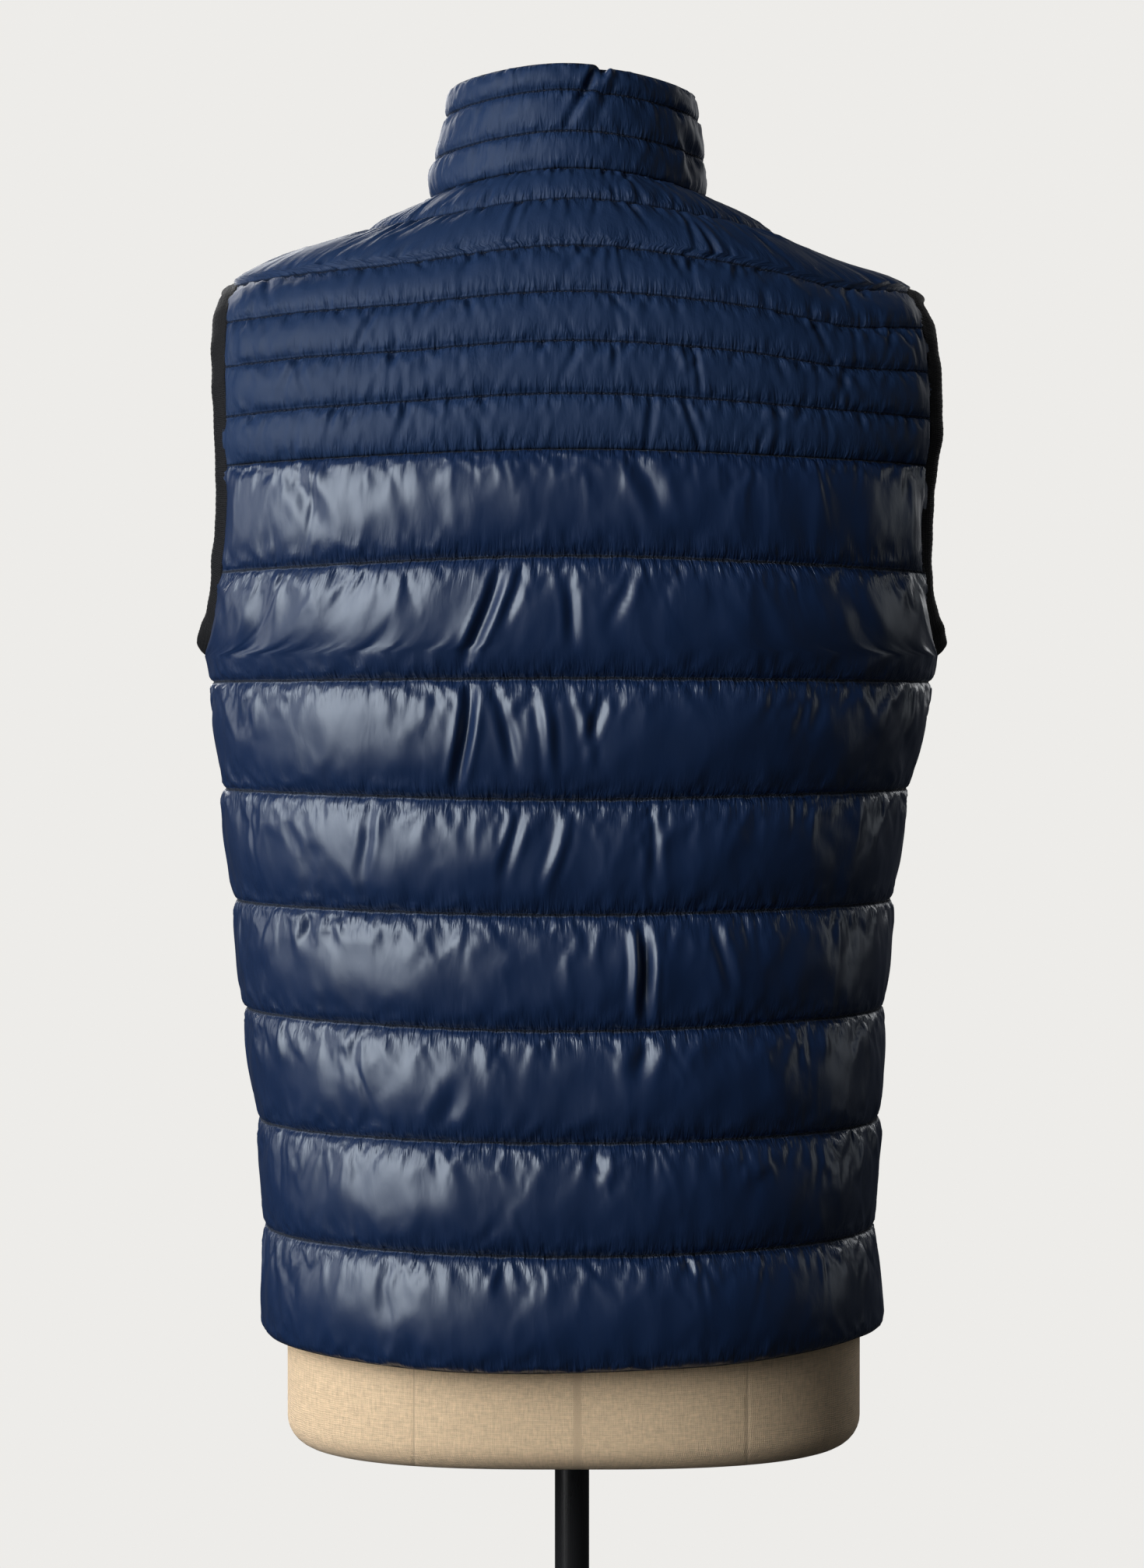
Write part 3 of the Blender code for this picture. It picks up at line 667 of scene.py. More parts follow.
def border_faces(fine, coarse, rows, columns):
    """Walls between a fine grid's border and a coarse one's: many fine points to each pair."""
    fine_at = np.arange(fine[0] * fine[1]).reshape(fine)
    coarse_at = fine_at.size + np.arange(coarse[0] * coarse[1]).reshape(coarse)
    made = []
    for many, few, stops, flip in (
        (fine_at[0], coarse_at[0], columns, False),
        (fine_at[-1], coarse_at[-1], columns, True),
        (fine_at[:, 0], coarse_at[:, 0], rows, True),
        (fine_at[:, -1], coarse_at[:, -1], rows, False),
    ):
        many, few = many.tolist(), few.tolist()
        for k, (low, high) in enumerate(zip(stops, stops[1:])):
            face = (*many[low:high + 1], few[k + 1], few[k])
            made.append(face if flip else face[::-1])
    return made


def uv_pairs(u, v):
    """A UV pair for each point of a grid, from what its columns and its rows hold."""
    return np.stack(np.broadcast_arrays(u, v), axis=-1).reshape(-1, 2)


def arc_uv(grid):
    """A UV pair in metres for each point of a grid: the distance across, and up."""
    across, up = (
        running(np.linalg.norm(np.diff(grid, axis=axis), axis=-1).mean(axis=1 - axis)) for axis in (1, 0)
    )
    return uv_pairs(across[None, :], up[:, None])


def midpoints(points):
    """Points half way along the first axis, on a smooth curve through the given ones."""
    middle = (points[:-1] + points[1:]) / 2
    if len(points) > 3:
        middle[1:-1] = (9 * (points[1:-2] + points[2:-1]) - points[:-3] - points[3:]) / 16
        middle[0] = (3 * points[0] + 6 * points[1] - points[2]) / 8
        middle[-1] = (3 * points[-1] + 6 * points[-2] - points[-3]) / 8
    return middle


def refined(grid):
    """Doubles a grid's columns."""
    columns = grid.swapaxes(0, 1)
    doubled = np.empty((2 * len(columns) - 1, *columns.shape[1:]))
    doubled[::2] = columns
    doubled[1::2] = midpoints(columns)
    return doubled.swapaxes(0, 1)


def soften(field, times):
    """Blurs a field a little along both axes, leaving its border."""
    for _ in range(times):
        field[:, 1:-1] = (field[:, :-2] + 2 * field[:, 1:-1] + field[:, 2:]) / 4
        field[1:-1] = (field[:-2] + 2 * field[1:-1] + field[2:]) / 4
    return field


def broad(field, reach):
    """The field's slow changes along its rows, over about this many columns each way."""
    width = 2 * reach + 1
    for _ in range(2):
        padded = np.pad(field, ((0, 0), (reach, reach), (0, 0)), "edge")
        total = np.cumsum(np.pad(padded, ((0, 0), (1, 0), (0, 0))), 1)
        field = (total[:, width:] - total[:, :-width]) / width
    return field


def blurred(line, times):
    """A closed line with its corners eased."""
    for _ in range(times):
        line = (np.roll(line, 1, axis=0) + 2 * line + np.roll(line, -1, axis=0)) / 4
    return line


# ---------------------------------------------------------------- quilted panels

QUILTS = {}  # each quilted panel's kind and its seam lines as they come out, for the stitches

Quilting = namedtuple("Quilting", (
    "slot", "first", "last", "steps", "fullness", "side_taper",  # the channels' own shape
    "gather", "reach", "pressure", "ripple", "cover",  # puckers found by the cloth solver
    "tucks", "bold",  # fine tucks added along the seams
))
QUILTING = {
    "body": Quilting("gloss_nylon", HEM, YOKE, 24, 0.60, 0.76, 0.14, 0.013, 7.0, 0.90, 5 * MM, 1.0, 1.0),
    "yoke": Quilting("satin_nylon", YOKE, NECK, 12, 0.75, 0.0, 0.10, 0.009, 8.0, 1.05, 7 * MM, 1.15, 1.7),
    "collar": Quilting("satin_nylon", NECK, TOP, 10, 0.80, 0.55, 0.08, 0.008, 8.0, 0.80, 6 * MM, 0.85, 1.3),
}
CLOTH = {
    "quality": 4, "mass": 0.02, "tension_stiffness": 15, "compression_stiffness": 15,
    "shear_stiffness": 5, "bending_stiffness": 0.05, "use_pressure": True,
    "vertex_group_shrink": "full", "vertex_group_mass": "held", "pin_stiffness": 1,
}
INNER_STEP = 4  # the inner face has one row and one column of points for this many of the cloth's
BROAD_REACH = 9  # columns over which the solver's movement counts as broad
BILLOW = 0.030  # uneven filling, as a share of the puff
BORDER_FALL = 0.014  # over this distance from its borders a panel rises to its full puff
RISING_TUCKS = 0.62  # tucks rising from the seam below, as a share of those that hang from above


def channel_places(first, last, count):
    """Row numbers with count steps in each channel, closer together towards the seams."""
    step = np.arange(count) / count
    eased = 0.55 * step + 0.45 * (1 - np.cos(math.pi * step)) / 2
    rows = [channel + eased for channel in range(first, last)]
    return np.concatenate([*rows, [last]])


def grouped(piece, name, weights):
    """A vertex group that holds the weights, rounded to twentieths."""
    group = piece.vertex_groups.new(name=name)
    levels = np.round(weights.ravel() * 20) / 20
    for level in np.unique(levels):
        group.add([int(k) for k in np.flatnonzero(levels == level)], float(level), "REPLACE")


def blow_up(name, start, pinned, fullness, style, frames):
    """Runs the cloth solver on a grid: pressure from inside, extra cloth where fullness is high."""
    height, width = start.shape[:2]
    mesh = mesh_from(name, start.reshape(-1, 3), grid_faces(height, width), smooth=False)
    piece = link(name, mesh)
    held = piece.vertex_groups.new(name="held")
    held.add([int(k) for k in np.flatnonzero(pinned.ravel())], 1.0, "REPLACE")
    grouped(piece, "full", fullness)
    cloth = piece.modifiers.new("Cloth", "CLOTH")
    for setting, value in CLOTH.items():
        setattr(cloth.settings, setting, value)
    cloth.settings.uniform_pressure_force = style.pressure
    cloth.settings.shrink_min, cloth.settings.shrink_max = -style.gather / 8, -style.gather
    cloth.settings.effector_weights.gravity = 0
    cloth.collision_settings.use_collision = False
    cloth.point_cache.frame_start, cloth.point_cache.frame_end = 1, frames + 1
    for step in range(1, frames + 1):
        bpy.context.scene.frame_set(step)
    evaluated = piece.evaluated_get(bpy.context.evaluated_depsgraph_get())
    found = np.empty(height * width * 3, np.float32)
    evaluated.data.vertices.foreach_get("co", found)
    bpy.data.objects.remove(piece)
    bpy.data.meshes.remove(mesh)
    bpy.context.scene.frame_set(1)
    return found.reshape(height, width, 3).astype(float)


def puckered(name, start, pinned, gathered, up, down, random, style, sizes):
    """The grid with the solver's puckers; up and down are the distances to the seams, in reaches."""
    moved = blow_up(name + "_cloth", start, pinned, gathered, style, sizes.cloth_frames) - start
    # Only the puckers are kept from the solver; the broad swell is the pattern's own.
    moved -= broad(moved, BROAD_REACH)
    run = soften(random.normal(0, 1, gathered.shape), 30)
    run = np.clip(1 + 0.45 * run / run.std(), 0.5, 2.2)
    keep = 0.07 + 0.93 * np.maximum(bell(up / 1.5, 0, run), 0.6 * bell(down / 0.8, 0, run))
    moved *= keep[..., None] * style.ripple
    distance = np.linalg.norm(moved, axis=-1, keepdims=True)
    return start + moved * np.minimum(1, style.cover / np.maximum(distance, 1e-9))


def fold_depths(points, folds):
    """How far each point sinks into the listed folds, seen along Y."""
    sunk = np.zeros(points.shape[:-1])
    for x, z, x_foot, z_foot, depth, width in folds:
        head, run = np.array((x, z)) * MM, np.array((x_foot - x, z_foot - z)) * MM
        place = points[..., (0, 2)] - head
        along = np.clip((place @ run) / (run @ run), 0, 1)
        bend = np.sin(along * math.pi * 1.5) * 1.2 * MM
        away = place - along[..., None] * run
        away[..., 0] += bend
        distance = np.linalg.norm(away, axis=-1) / (width * MM)
        rim = 0.35 * np.exp(-((distance - 1.9) ** 2) / 0.5)
        fading = np.sin(math.pi * (0.12 + 0.82 * along)) ** 0.8
        sunk += depth * MM * (np.exp(-(distance**1.4)) - rim) * fading
    return sunk


def tuck_depths(places, to_seam, random, share, bold):
    """Fine tucks that run away from a stitched seam: sharp valleys, each with a soft ridge beside it."""
    depths = np.zeros(to_seam.shape)
    for _ in range(max(4, int(places.max() / (5.5 * MM) * share))):
        start = random.uniform(0, places.max())
        run = random.lognormal(math.log(8.0), 0.55) * share * MM
        width = random.uniform(1.2, 2.1) * bold**0.5 * MM
        lean = random.normal(0, 0.35 * bold)
        depth = 0.6 * bold * MM * min(2.2, (run / (8 * MM)) ** 0.6)
        near = np.abs(places - start) < 14 * MM
        away = to_seam[:, near]
        along = away / run
        beside = (places[near] - start - lean * away * (1 + 0.4 * along)) / width
        shape = bell(beside, 0, 1) - 0.55 * bell(beside, 1.7, 1) - 0.3 * bell(beside, -1.8, 1)
        depths[:, near] += depth * shape * np.exp(-(along**1.6)) * np.minimum(1, away / (1.1 * MM))
    return depths


def quilted_panel(name, node, kind, span, angles, puff, seed, sizes, folds=(), shape=np.copy):
    """A closed quilted panel: a blown-up, gathered outer shell over a smooth inner face."""
    style, random = QUILTING[kind], np.random.default_rng(seed)
    first, last, steps = style.first, style.last, style.steps
    rows = channel_places(first, last, steps)
    places = rows.copy()
    places[0] -= SEAM_LAP * (first > HEM)
    places[-1] += SEAM_LAP * (last < TOP)
    theta = angles(places, 4 * round(span / sizes.cloth_step / 4))
    height, width = theta.shape
    base, normals = (find(places[:, None], theta) for find in (ring_points, ring_normals))

    # What each point is near: a border, an armhole's binding, a seam above or below.
    across = rows - np.floor(rows)
    across[-1] = 0
    arc = np.cumsum(np.linalg.norm(np.diff(base, axis=1), axis=-1), axis=1)
    arc = np.concatenate([np.zeros((height, 1)), arc], axis=1)
    bound = ramped(places, ARMHOLE_FIRST, 0.15) * ramped(-places, -ARMHOLE_LAST, 0.15)
    at_start, at_end = (BOUND_MARGIN * bound * (np.abs(theta[:, k]) < 3.0) for k in (0, -1))
    rim = np.minimum(arc - at_start[:, None], arc[:, -1:] - arc - at_end[:, None])
    edge = ramped(rim, 0, BORDER_FALL) ** 0.6
    channel_height = np.linalg.norm(ring_points(first + 1.0, 0.0) - ring_points(float(first), 0.0))
    to_seam = np.minimum(across, 1 - across)[:, None] * channel_height
    gathered = np.exp(-((to_seam / style.reach) ** 1.5)) * np.ones_like(theta)
    free = edge * np.minimum(1, 4 * across * (1 - across) * 3)[:, None]

    # The swell between the seams, a ruffle along them and the uneven filling.
    swell = (4 * across * (1 - across)) ** style.fullness
    taper = 1 - style.side_taper * np.sin(theta) ** 4
    ruffle = soften(random.normal(0, 1, theta.shape), 2)
    ruffle *= 0.45 * MM / ruffle.std()
    lift = puff * swell[:, None] * edge * taper + ruffle * gathered * free
    billow = soften(random.normal(0, 1, theta.shape), 10)
    lift += BILLOW * puff * billow / billow.std() * free
    # The thread draws each seam a little under the surface between the panels' borders.
    trench = SEAM_SINK * bell(to_seam, 0, 1.6 * MM) * edge
    outer = base + normals * (lift - trench)[..., None]
    pinned = np.zeros(theta.shape, bool)
    pinned[::steps] = pinned[-1] = pinned[:, 0] = pinned[:, -1] = True
    up, down = ((share[:, None] * channel_height / style.reach) for share in (1 - across, across))
    outer = puckered(name, outer, pinned, gathered, up, down, random, style, sizes)

    # Tucks and folds go into the shell at twice the columns.
    outer, normals_out, edge_out = refined(outer), refined(normals), refined(edge)
    fine_places = travelled(outer[height // 2])
    for k in range(0, height - 1, steps):
        channel = slice(k, k + steps + 1)
        part = np.append(across[k:k + steps], 1.0) * channel_height
        for distance, share in ((channel_height - part, 1.0), (part, RISING_TUCKS)):
            away = np.repeat(distance[:, None], len(fine_places), 1)
            sunk = tuck_depths(fine_places, away, random, share * style.tucks, style.bold)
            sunk = soften(sunk, 1) * edge_out[channel]
            outer[channel] -= normals_out[channel] * sunk[..., None]
    if folds:
        loose = np.minimum(1, 12 * across * (1 - across))[:, None]
        outer -= normals_out * (soften(fold_depths(outer, folds), 1) * edge_out * loose)[..., None]

    inner_rows, inner_columns = (
        np.unique(np.append(np.arange(0, count, INNER_STEP), count - 1)) for count in (height, width)
    )
    outer = shape(outer)
    inner = shape((base - normals * WALL)[inner_rows][:, inner_columns])
    fine, coarse = outer.shape[:2], inner.shape[:2]
    faces = grid_faces(*fine) + grid_faces(*coarse, start=fine[0] * fine[1], flip=True)
    faces += border_faces(fine, coarse, inner_rows, inner_columns * 2)
    points = np.concatenate([outer.reshape(-1, 3), inner.reshape(-1, 3)])
    uv = np.concatenate([arc_uv(outer), arc_uv(inner)])
    piece = link(name, mesh_from(name, points, faces, uv), MATERIALS[style.slot])
    # How near each point of the outer shell lies to a seam; the nylon paints shade and dulls its gloss by
    # it.
    nearness = np.zeros(len(points), np.float32)
    nearness[:fine[0] * fine[1]] = (np.exp(-to_seam / (4 * MM)) * np.ones(fine[1])).ravel()
    piece.data.attributes.new(SEAM_NEARNESS, "FLOAT", "POINT").data.foreach_set("value", nearness)
    QUILTS[name] = kind, outer[::steps]
    declared(piece, style.slot, node)


# ---------------------------------------------------------------- bindings and zip tapes

BINDING_POINTS, BINDING_SIDES = 360, 20
BINDING_HALF_WIDTH, BINDING_HALF_HEIGHT = 6.9 * MM, 2.9 * MM
BINDING_REACH = 8.6 * MM  # from the cloth's edge to the band's far edge
TAPE_SECTION = (  # from the centre front, and from the seam surface, in millimetres
    (0.25, -1.25), (0.5, -1.0), (1.3, -1.0), (2.2, -1.3), (3.6, -1.3), (5.4, -1.2), (5.6, -1.5),
    (5.6, -2.2), (0.25, -2.2),
)


def armhole_route(side, count):
    """Evenly spaced places round an armhole, as arrays of rows and angles, starting at its foot."""
    share = 0.5 - 0.5 * np.cos(np.linspace(0, math.pi, 400))
    rows = ARMHOLE_FIRST + 1e-4 + (ARMHOLE_LAST - ARMHOLE_FIRST - 2e-4) * share
    up, down = armhole_angles(rows, True), math.pi - armhole_angles(rows, False)[::-1]
    rows = np.concatenate([rows, rows[-2:0:-1], rows[:1]])
    theta = np.concatenate([up, down[1:-1], up[:1]])
    run = travelled(ring_points(rows, theta))
    stops = np.linspace(0, run[-1], count, endpoint=False)
    return np.interp(stops, run, rows), side * np.interp(stops, run, theta)


def powered(values, power):
    return np.sign(values) * np.abs(values) ** power


def armhole_binding(name, node, side, seed):
    """Ribbed elastic folded over an armhole's edge: one closed band, drawn in unevenly."""
    random = np.random.default_rng(seed)
    count, sides = BINDING_POINTS, BINDING_SIDES
    rows, theta = armhole_route(side, count)
    edge = blurred(cloth_points(rows, theta, -WALL / 2), 6)
    normal = unit(blurred(ring_normals(rows, theta), 10))
    along = unit(np.roll(edge, -1, axis=0) - np.roll(edge, 1, axis=0))
    inward = unit(np.cross(normal, along)) * side
    foot = bell(edge[:, 2], edge[:, 2].min(), 0.016)[:, None]
    pull = blurred(random.normal(0, 1, (count, 2)), 14)
    pull /= pull.std(axis=0)
    centre = edge + inward * (BINDING_REACH - BINDING_HALF_WIDTH) + normal * (0.35 * MM * pull[:, :1])
    centre = centre + normal * foot * 3.0 * MM
    turns = np.linspace(0, 2 * math.pi, sides, endpoint=False)
    wide, thick = powered(np.cos(turns), 0.7), powered(np.sin(turns), 0.8)
    # The fold lies along the free edge, and the band is pinched where it is stitched down.
    thick = thick * (1 - 0.28 * bell(wide, -0.55, 0.22))
    spread = BINDING_HALF_WIDTH * (1 + 0.04 * pull[:, 1:, None])
    ribbing = 1 + 0.05 * np.cos(np.arange(count) * math.pi)[:, None, None]
    points = centre[:, None] + unit(inward + normal * foot * 0.55)[:, None] * wide[None, :, None] * spread
    points = points + normal[:, None] * thick[None, :, None] * BINDING_HALF_HEIGHT * ribbing
    faces = grid_faces(count + 1, sides, wrap=True, flip=side > 0)
    faces = [tuple(k % (count * sides) for k in face) for face in faces]
    u = running(np.linalg.norm(np.roll(edge, -1, axis=0) - edge, axis=-1))[:-1]
    v = np.linspace(0, 4 * BINDING_HALF_WIDTH, sides, endpoint=False)
    mesh = mesh_from(name, points.reshape(-1, 3), faces, uv_pairs(u[:, None], v[None, :]))
    declared(link(name, mesh, MATERIALS["rib_elastic"]), "rib_elastic", node)


def zip_tape(name, node, side):
    """Woven tape between a front panel's edge and the teeth, with the ridge of its cord."""
    rows = np.linspace(HEM + 0.004, TOP - 0.012, 420)
    points = np.stack([
        cloth_points(rows, side * (math.pi - zip_angles(rows, distance * MM)), offset * MM)
        for distance, offset in TAPE_SECTION
    ], axis=1)
    sides = len(TAPE_SECTION)
    foot = tuple(range(sides))
    head = tuple(k + (len(rows) - 1) * sides for k in foot)
    faces = grid_faces(len(rows), sides, wrap=True, flip=side < 0)
    faces += [foot[::-1], head] if side > 0 else [foot, head[::-1]]
    u = np.array([distance * MM for distance, _ in TAPE_SECTION])
    uv = uv_pairs(u[None, :], travelled(points[:, 0])[:, None])
    mesh = mesh_from(name, points.reshape(-1, 3), faces, uv, smooth=False)
    declared(link(name, mesh, MATERIALS["zip_tape"]), "zip_tape", node)


# ---------------------------------------------------------------- what repeats along a path

THREAD_THICKNESS = 0.55 * MM
TOOTH_WIDTH, TOOTH_HEIGHT = 3.4 * MM, 1.6 * MM
TEETH_OVER_TAPE = 0.9 * MM


def path_mesh(name, lines, normals):
    """Loose edges along each line, with the way out of the cloth kept at every point."""
    points, edges, start = [], [], 0
    for line in lines:
        points += [tuple(point) for point in line]
        edges += [(start + k, start + k + 1) for k in range(len(line) - 1)]
        start += len(line)
    mesh = bpy.data.meshes.new(name)
    mesh.from_pydata(points, edges, [])
    out = mesh.attributes.new("out", "FLOAT_VECTOR", "POINT")
    out.data.foreach_set("vector", np.concatenate(normals).astype(np.float32).ravel())
    return mesh


class GeometryTree(Nodes):
    """A Geometry Nodes tree with named inputs, which a modifier then runs on one object."""

    def __init__(self, name, inputs):
        super().__init__(bpy.data.node_groups.new(name, "GeometryNodeTree"))
        face = self.tree.interface
        face.new_socket("Geometry", in_out="INPUT", socket_type="NodeSocketGeometry")
        face.new_socket("Geometry", in_out="OUTPUT", socket_type="NodeSocketGeometry")
        self.sockets = {
            label: face.new_socket(label, in_out="INPUT", socket_type="NodeSocket" + kind)
            for label, kind in inputs.items()
        }
        self.inputs = self.add("NodeGroupInput").outputs
        self.output = self.add("NodeGroupOutput")

    def xyz(self, x=0.0, y=0.0, z=0.0):
        return self.add("ShaderNodeCombineXYZ", {"X": x, "Y": y, "Z": z}).outputs["Vector"]

    def box(self, x, y, z):
        return self.add("GeometryNodeMeshCube", {"Size": self.xyz(x, y, z)}).outputs["Mesh"]

    def along(self, pitch):
        """Points at an even pitch along the input's edges, turned with their tangent and way out."""
        curve = self.add("GeometryNodeMeshToCurve", {"Mesh": self.inputs["Geometry"]}).outputs["Curve"]
        even = self.add("GeometryNodeResampleCurve", {"Curve": curve, "Length": pitch}, mode="LENGTH")
        made = self.add("GeometryNodeCurveToPoints", {"Curve": even.outputs["Curve"]}, mode="EVALUATED")
        out = self.add("GeometryNodeInputNamedAttribute", {"Name": "out"}, data_type="FLOAT_VECTOR")
        align = "FunctionNodeAlignRotationToVector"
        turned = self.add(align, {"Vector": made.outputs["Tangent"]}, axis="X").outputs["Rotation"]
        inputs = {"Rotation": turned, "Vector": out.outputs["Attribute"]}
        turned = self.add(align, inputs, axis="Z", pivot_axis="X").outputs["Rotation"]
        return made.outputs["Points"], turned

    def finish(self, points, instance, rotation, material, **inputs):
        """Puts the instance on every point and leaves plain geometry in the material."""
        inputs = {"Points": points, "Instance": instance, "Rotation": rotation, **inputs}
        placed = self.add("GeometryNodeInstanceOnPoints", inputs).outputs["Instances"]
        real = self.add("GeometryNodeRealizeInstances", {"Geometry": placed}).outputs["Geometry"]
        dressed = self.add("GeometryNodeSetMaterial", {"Geometry": real, "Material": material})
        self.tree.links.new(dressed.outputs["Geometry"], self.output.inputs["Geometry"])

    def run(self, name, mesh, slot, values):
        """Evaluates the tree on the mesh and leaves a plain mesh object."""
        source = link(name + "_path", mesh)
        modifier = source.modifiers.new("Nodes", "NODES")
        modifier.node_group = self.tree
        for label, value in values.items():
            modifier[self.sockets[label].identifier] = value
        graph = bpy.context.evaluated_depsgraph_get()
        plain = bpy.data.meshes.new_from_object(source.evaluated_get(graph))
        source.modifiers.remove(modifier)
        bpy.data.objects.remove(source)
        plain.name = name
        plain.shade_smooth()
        declared(link(name, plain), slot)


def stitches(name, lines, normals, slot, sizes):
    """Lockstitches along the seams: one small lens of thread for each, lying with the seam."""
    kinds = {"Pitch": "Float", "Length": "Float", "Thickness": "Float", "Thread": "Material", "Seed": "Int"}
    tree = GeometryTree(name, kinds)
    points, turned = tree.along(tree.inputs["Pitch"])
    thread = tree.add("GeometryNodeMeshIcoSphere", {"Radius": 0.5, "Subdivisions": 1}).outputs["Mesh"]
    inputs = {2: 0.85, 3: 1.12, "Seed": tree.inputs["Seed"]}
    uneven = tree.add("FunctionNodeRandomValue", inputs, data_type="FLOAT").outputs[1]
    thick = tree.inputs["Thickness"]
    scale = tree.xyz(tree.times(tree.inputs["Length"], uneven), thick, thick)
    tree.finish(points, thread, turned, tree.inputs["Thread"], Scale=scale)
    tree.run(name, path_mesh(name, lines, normals), slot, {
        "Pitch": sizes.stitch_pitch, "Length": sizes.stitch_length, "Thickness": THREAD_THICKNESS,
        "Thread": MATERIALS["thread"], "Seed": 7,
    })


def zip_teeth(sizes):
    """Moulded teeth down the centre front, which reach over the middle from each tape in turn."""
    kinds = {"Pitch": "Float", "Width": "Float", "Height": "Float", "Moulding": "Material"}
    tree = GeometryTree("zip_teeth", kinds)
    width, height = tree.inputs["Width"], tree.inputs["Height"]
    half = tree.times(tree.inputs["Pitch"], 0.5)
    points, turned = tree.along(half)
    tooth = tree.box(tree.times(half, 0.86), width, height)
    head = tree.box(tree.times(half, 1.15), tree.times(width, 0.3), tree.times(height, 0.72))
    moved = {"Geometry": head, "Translation": tree.xyz(y=tree.times(width, 0.38))}
    head = tree.add("GeometryNodeTransform", moved).outputs["Geometry"]
    joined = tree.add("GeometryNodeJoinGeometry")
    for part in (tooth, head):
        tree.tree.links.new(part, joined.inputs["Geometry"])
    odd = tree.math("MODULO", tree.add("GeometryNodeInputIndex").outputs["Index"], 2.0)
    spin = {"Rotation": turned, "Rotate By": tree.xyz(z=tree.times(odd, math.pi))}
    spun = tree.add("FunctionNodeRotateRotation", spin, rotation_space="LOCAL").outputs["Rotation"]
    side = tree.math("SUBTRACT", tree.times(odd, 2.0), 1.0)
    aside = tree.xyz(x=tree.times(side, tree.times(width, -0.25)))
    points = tree.add("GeometryNodeSetPosition", {"Geometry": points, "Offset": aside}).outputs["Geometry"]
    tree.finish(points, joined.outputs["Geometry"], spun, tree.inputs["Moulding"])
    rows = np.linspace(HEM + 0.19, TOP - 0.05, 500)
    line, out = cloth_points(rows, math.pi, TAPE_FACE + TEETH_OVER_TAPE), ring_normals(rows, math.pi)
    tree.run("zip_teeth", path_mesh("zip_teeth", [line], [out]), "zip_metal", {
        "Pitch": sizes.tooth_pitch, "Width": TOOTH_WIDTH, "Height": TOOTH_HEIGHT,
        "Moulding": MATERIALS["zip_metal"],
    })


# ---------------------------------------------------------------- dress form and stand

FORM_SIDES = 192
FORM_BOTTOM = 0.780
FORM_FOOT_ROUND = 16.0 * MM
NECK_CAP_ROW, NECK_CAP_BACK, NECK_CAP_FRONT = 15.45, 1.5525, 1.506
CROWN = ((0.985, 1.2), (0.95, 2.2), (0.9, 2.8), (0.6, 3.4), (0.25, 3.7))  # the cap's size, and rise in mm
CROWN_TOP = 3.8 * MM
POLE_SOCKET, SOCKET_DEPTH = 10.55 * MM, 60.3 * MM
LINEN_ROUND = 0.9  # the cover's length round the form on its UV map


def form_points(rows, theta):
    rows, theta = matched(rows, theta)
    side = np.sin(theta) ** 2
    middle = np.where(np.cos(theta) >= 0, FORM_GAP["at_back"](rows), FORM_GAP["at_front"](rows))
    gap = FORM_GAP["at_side"](rows) * side + middle * (1 - side)
    return cloth_points(rows, theta, -WALL - gap)


def dress_form(name):
    """The linen-covered torso: smooth, with a rounded foot, a plain neck and a socket for the pole."""
    turns = np.linspace(0, 2 * math.pi, FORM_SIDES, endpoint=False)
    body = [form_points(row, turns) for row in np.arange(0, NECK + 1.01, 1 / 6)]
    hem = body[0]
    ground = hem * (1, 1, 0)
    outward = unit(ground)
    foot = [ground - outward * FORM_FOOT_ROUND + (0, 0, FORM_BOTTOM)]
    for angle in (k / 8 * math.pi / 2 for k in range(1, 9)):
        inset, rise = 1 - math.sin(angle), 1 - math.cos(angle)
        lift = (0, 0, FORM_BOTTOM + FORM_FOOT_ROUND * rise)
        foot.append(ground - outward * FORM_FOOT_ROUND * inset + lift)
    lift = FORM_BOTTOM + FORM_FOOT_ROUND
    foot += [ground + np.array([0, 0, 1]) * (lift + (hem[:, 2:] - lift) * share) for share in (0.33, 0.66)]
    cap = form_points(NECK_CAP_ROW, turns)
    cap[:, 2] = NECK_CAP_FRONT + (NECK_CAP_BACK - NECK_CAP_FRONT) * ((1 + np.cos(turns)) / 2)
    middle = cap.mean(axis=0)
    crown = [middle + (cap - middle) * size + (0, 0, rise * MM) for size, rise in CROWN]
    circle = np.stack([np.sin(turns), np.cos(turns), 0 * turns], axis=-1) * POLE_SOCKET
    pit = (0, 0, FORM_BOTTOM + SOCKET_DEPTH)
    rings = [circle + pit, circle + (0, 0, FORM_BOTTOM), *foot, *body, cap, *crown]
    points = np.concatenate([*rings, [middle + (0, 0, CROWN_TOP)], [pit]])
    faces, last = grid_faces(len(rings), FORM_SIDES, wrap=True), (len(rings) - 1) * FORM_SIDES
    for k in range(FORM_SIDES):
        after = (k + 1) % FORM_SIDES
        faces += [(last + k, last + after, len(points) - 2), (after, k, len(points) - 1)]
    around = turns / (2 * math.pi) * LINEN_ROUND
    up = running([np.linalg.norm(b[0] - a[0]) for a, b in zip(rings, rings[1:])])
    poles = [[LINEN_ROUND / 2, up[-1]], [LINEN_ROUND / 2, 0]]
    uv = np.concatenate([uv_pairs(around[None, :], up[:, None]), poles])
    mesh = mesh_from(name, points, [face[::-1] for face in faces], uv)
    declared(link(name, mesh, MATERIALS["linen"]), "linen", "dress_form")


def finish_nodes(material, *names):
    """Gives construction parts that are kept their finish."""
    for name in names:
        for slot in bpy.data.objects[name].material_slots:
            slot.material = MATERIALS[material]


# ---------------------------------------------------------------- studio

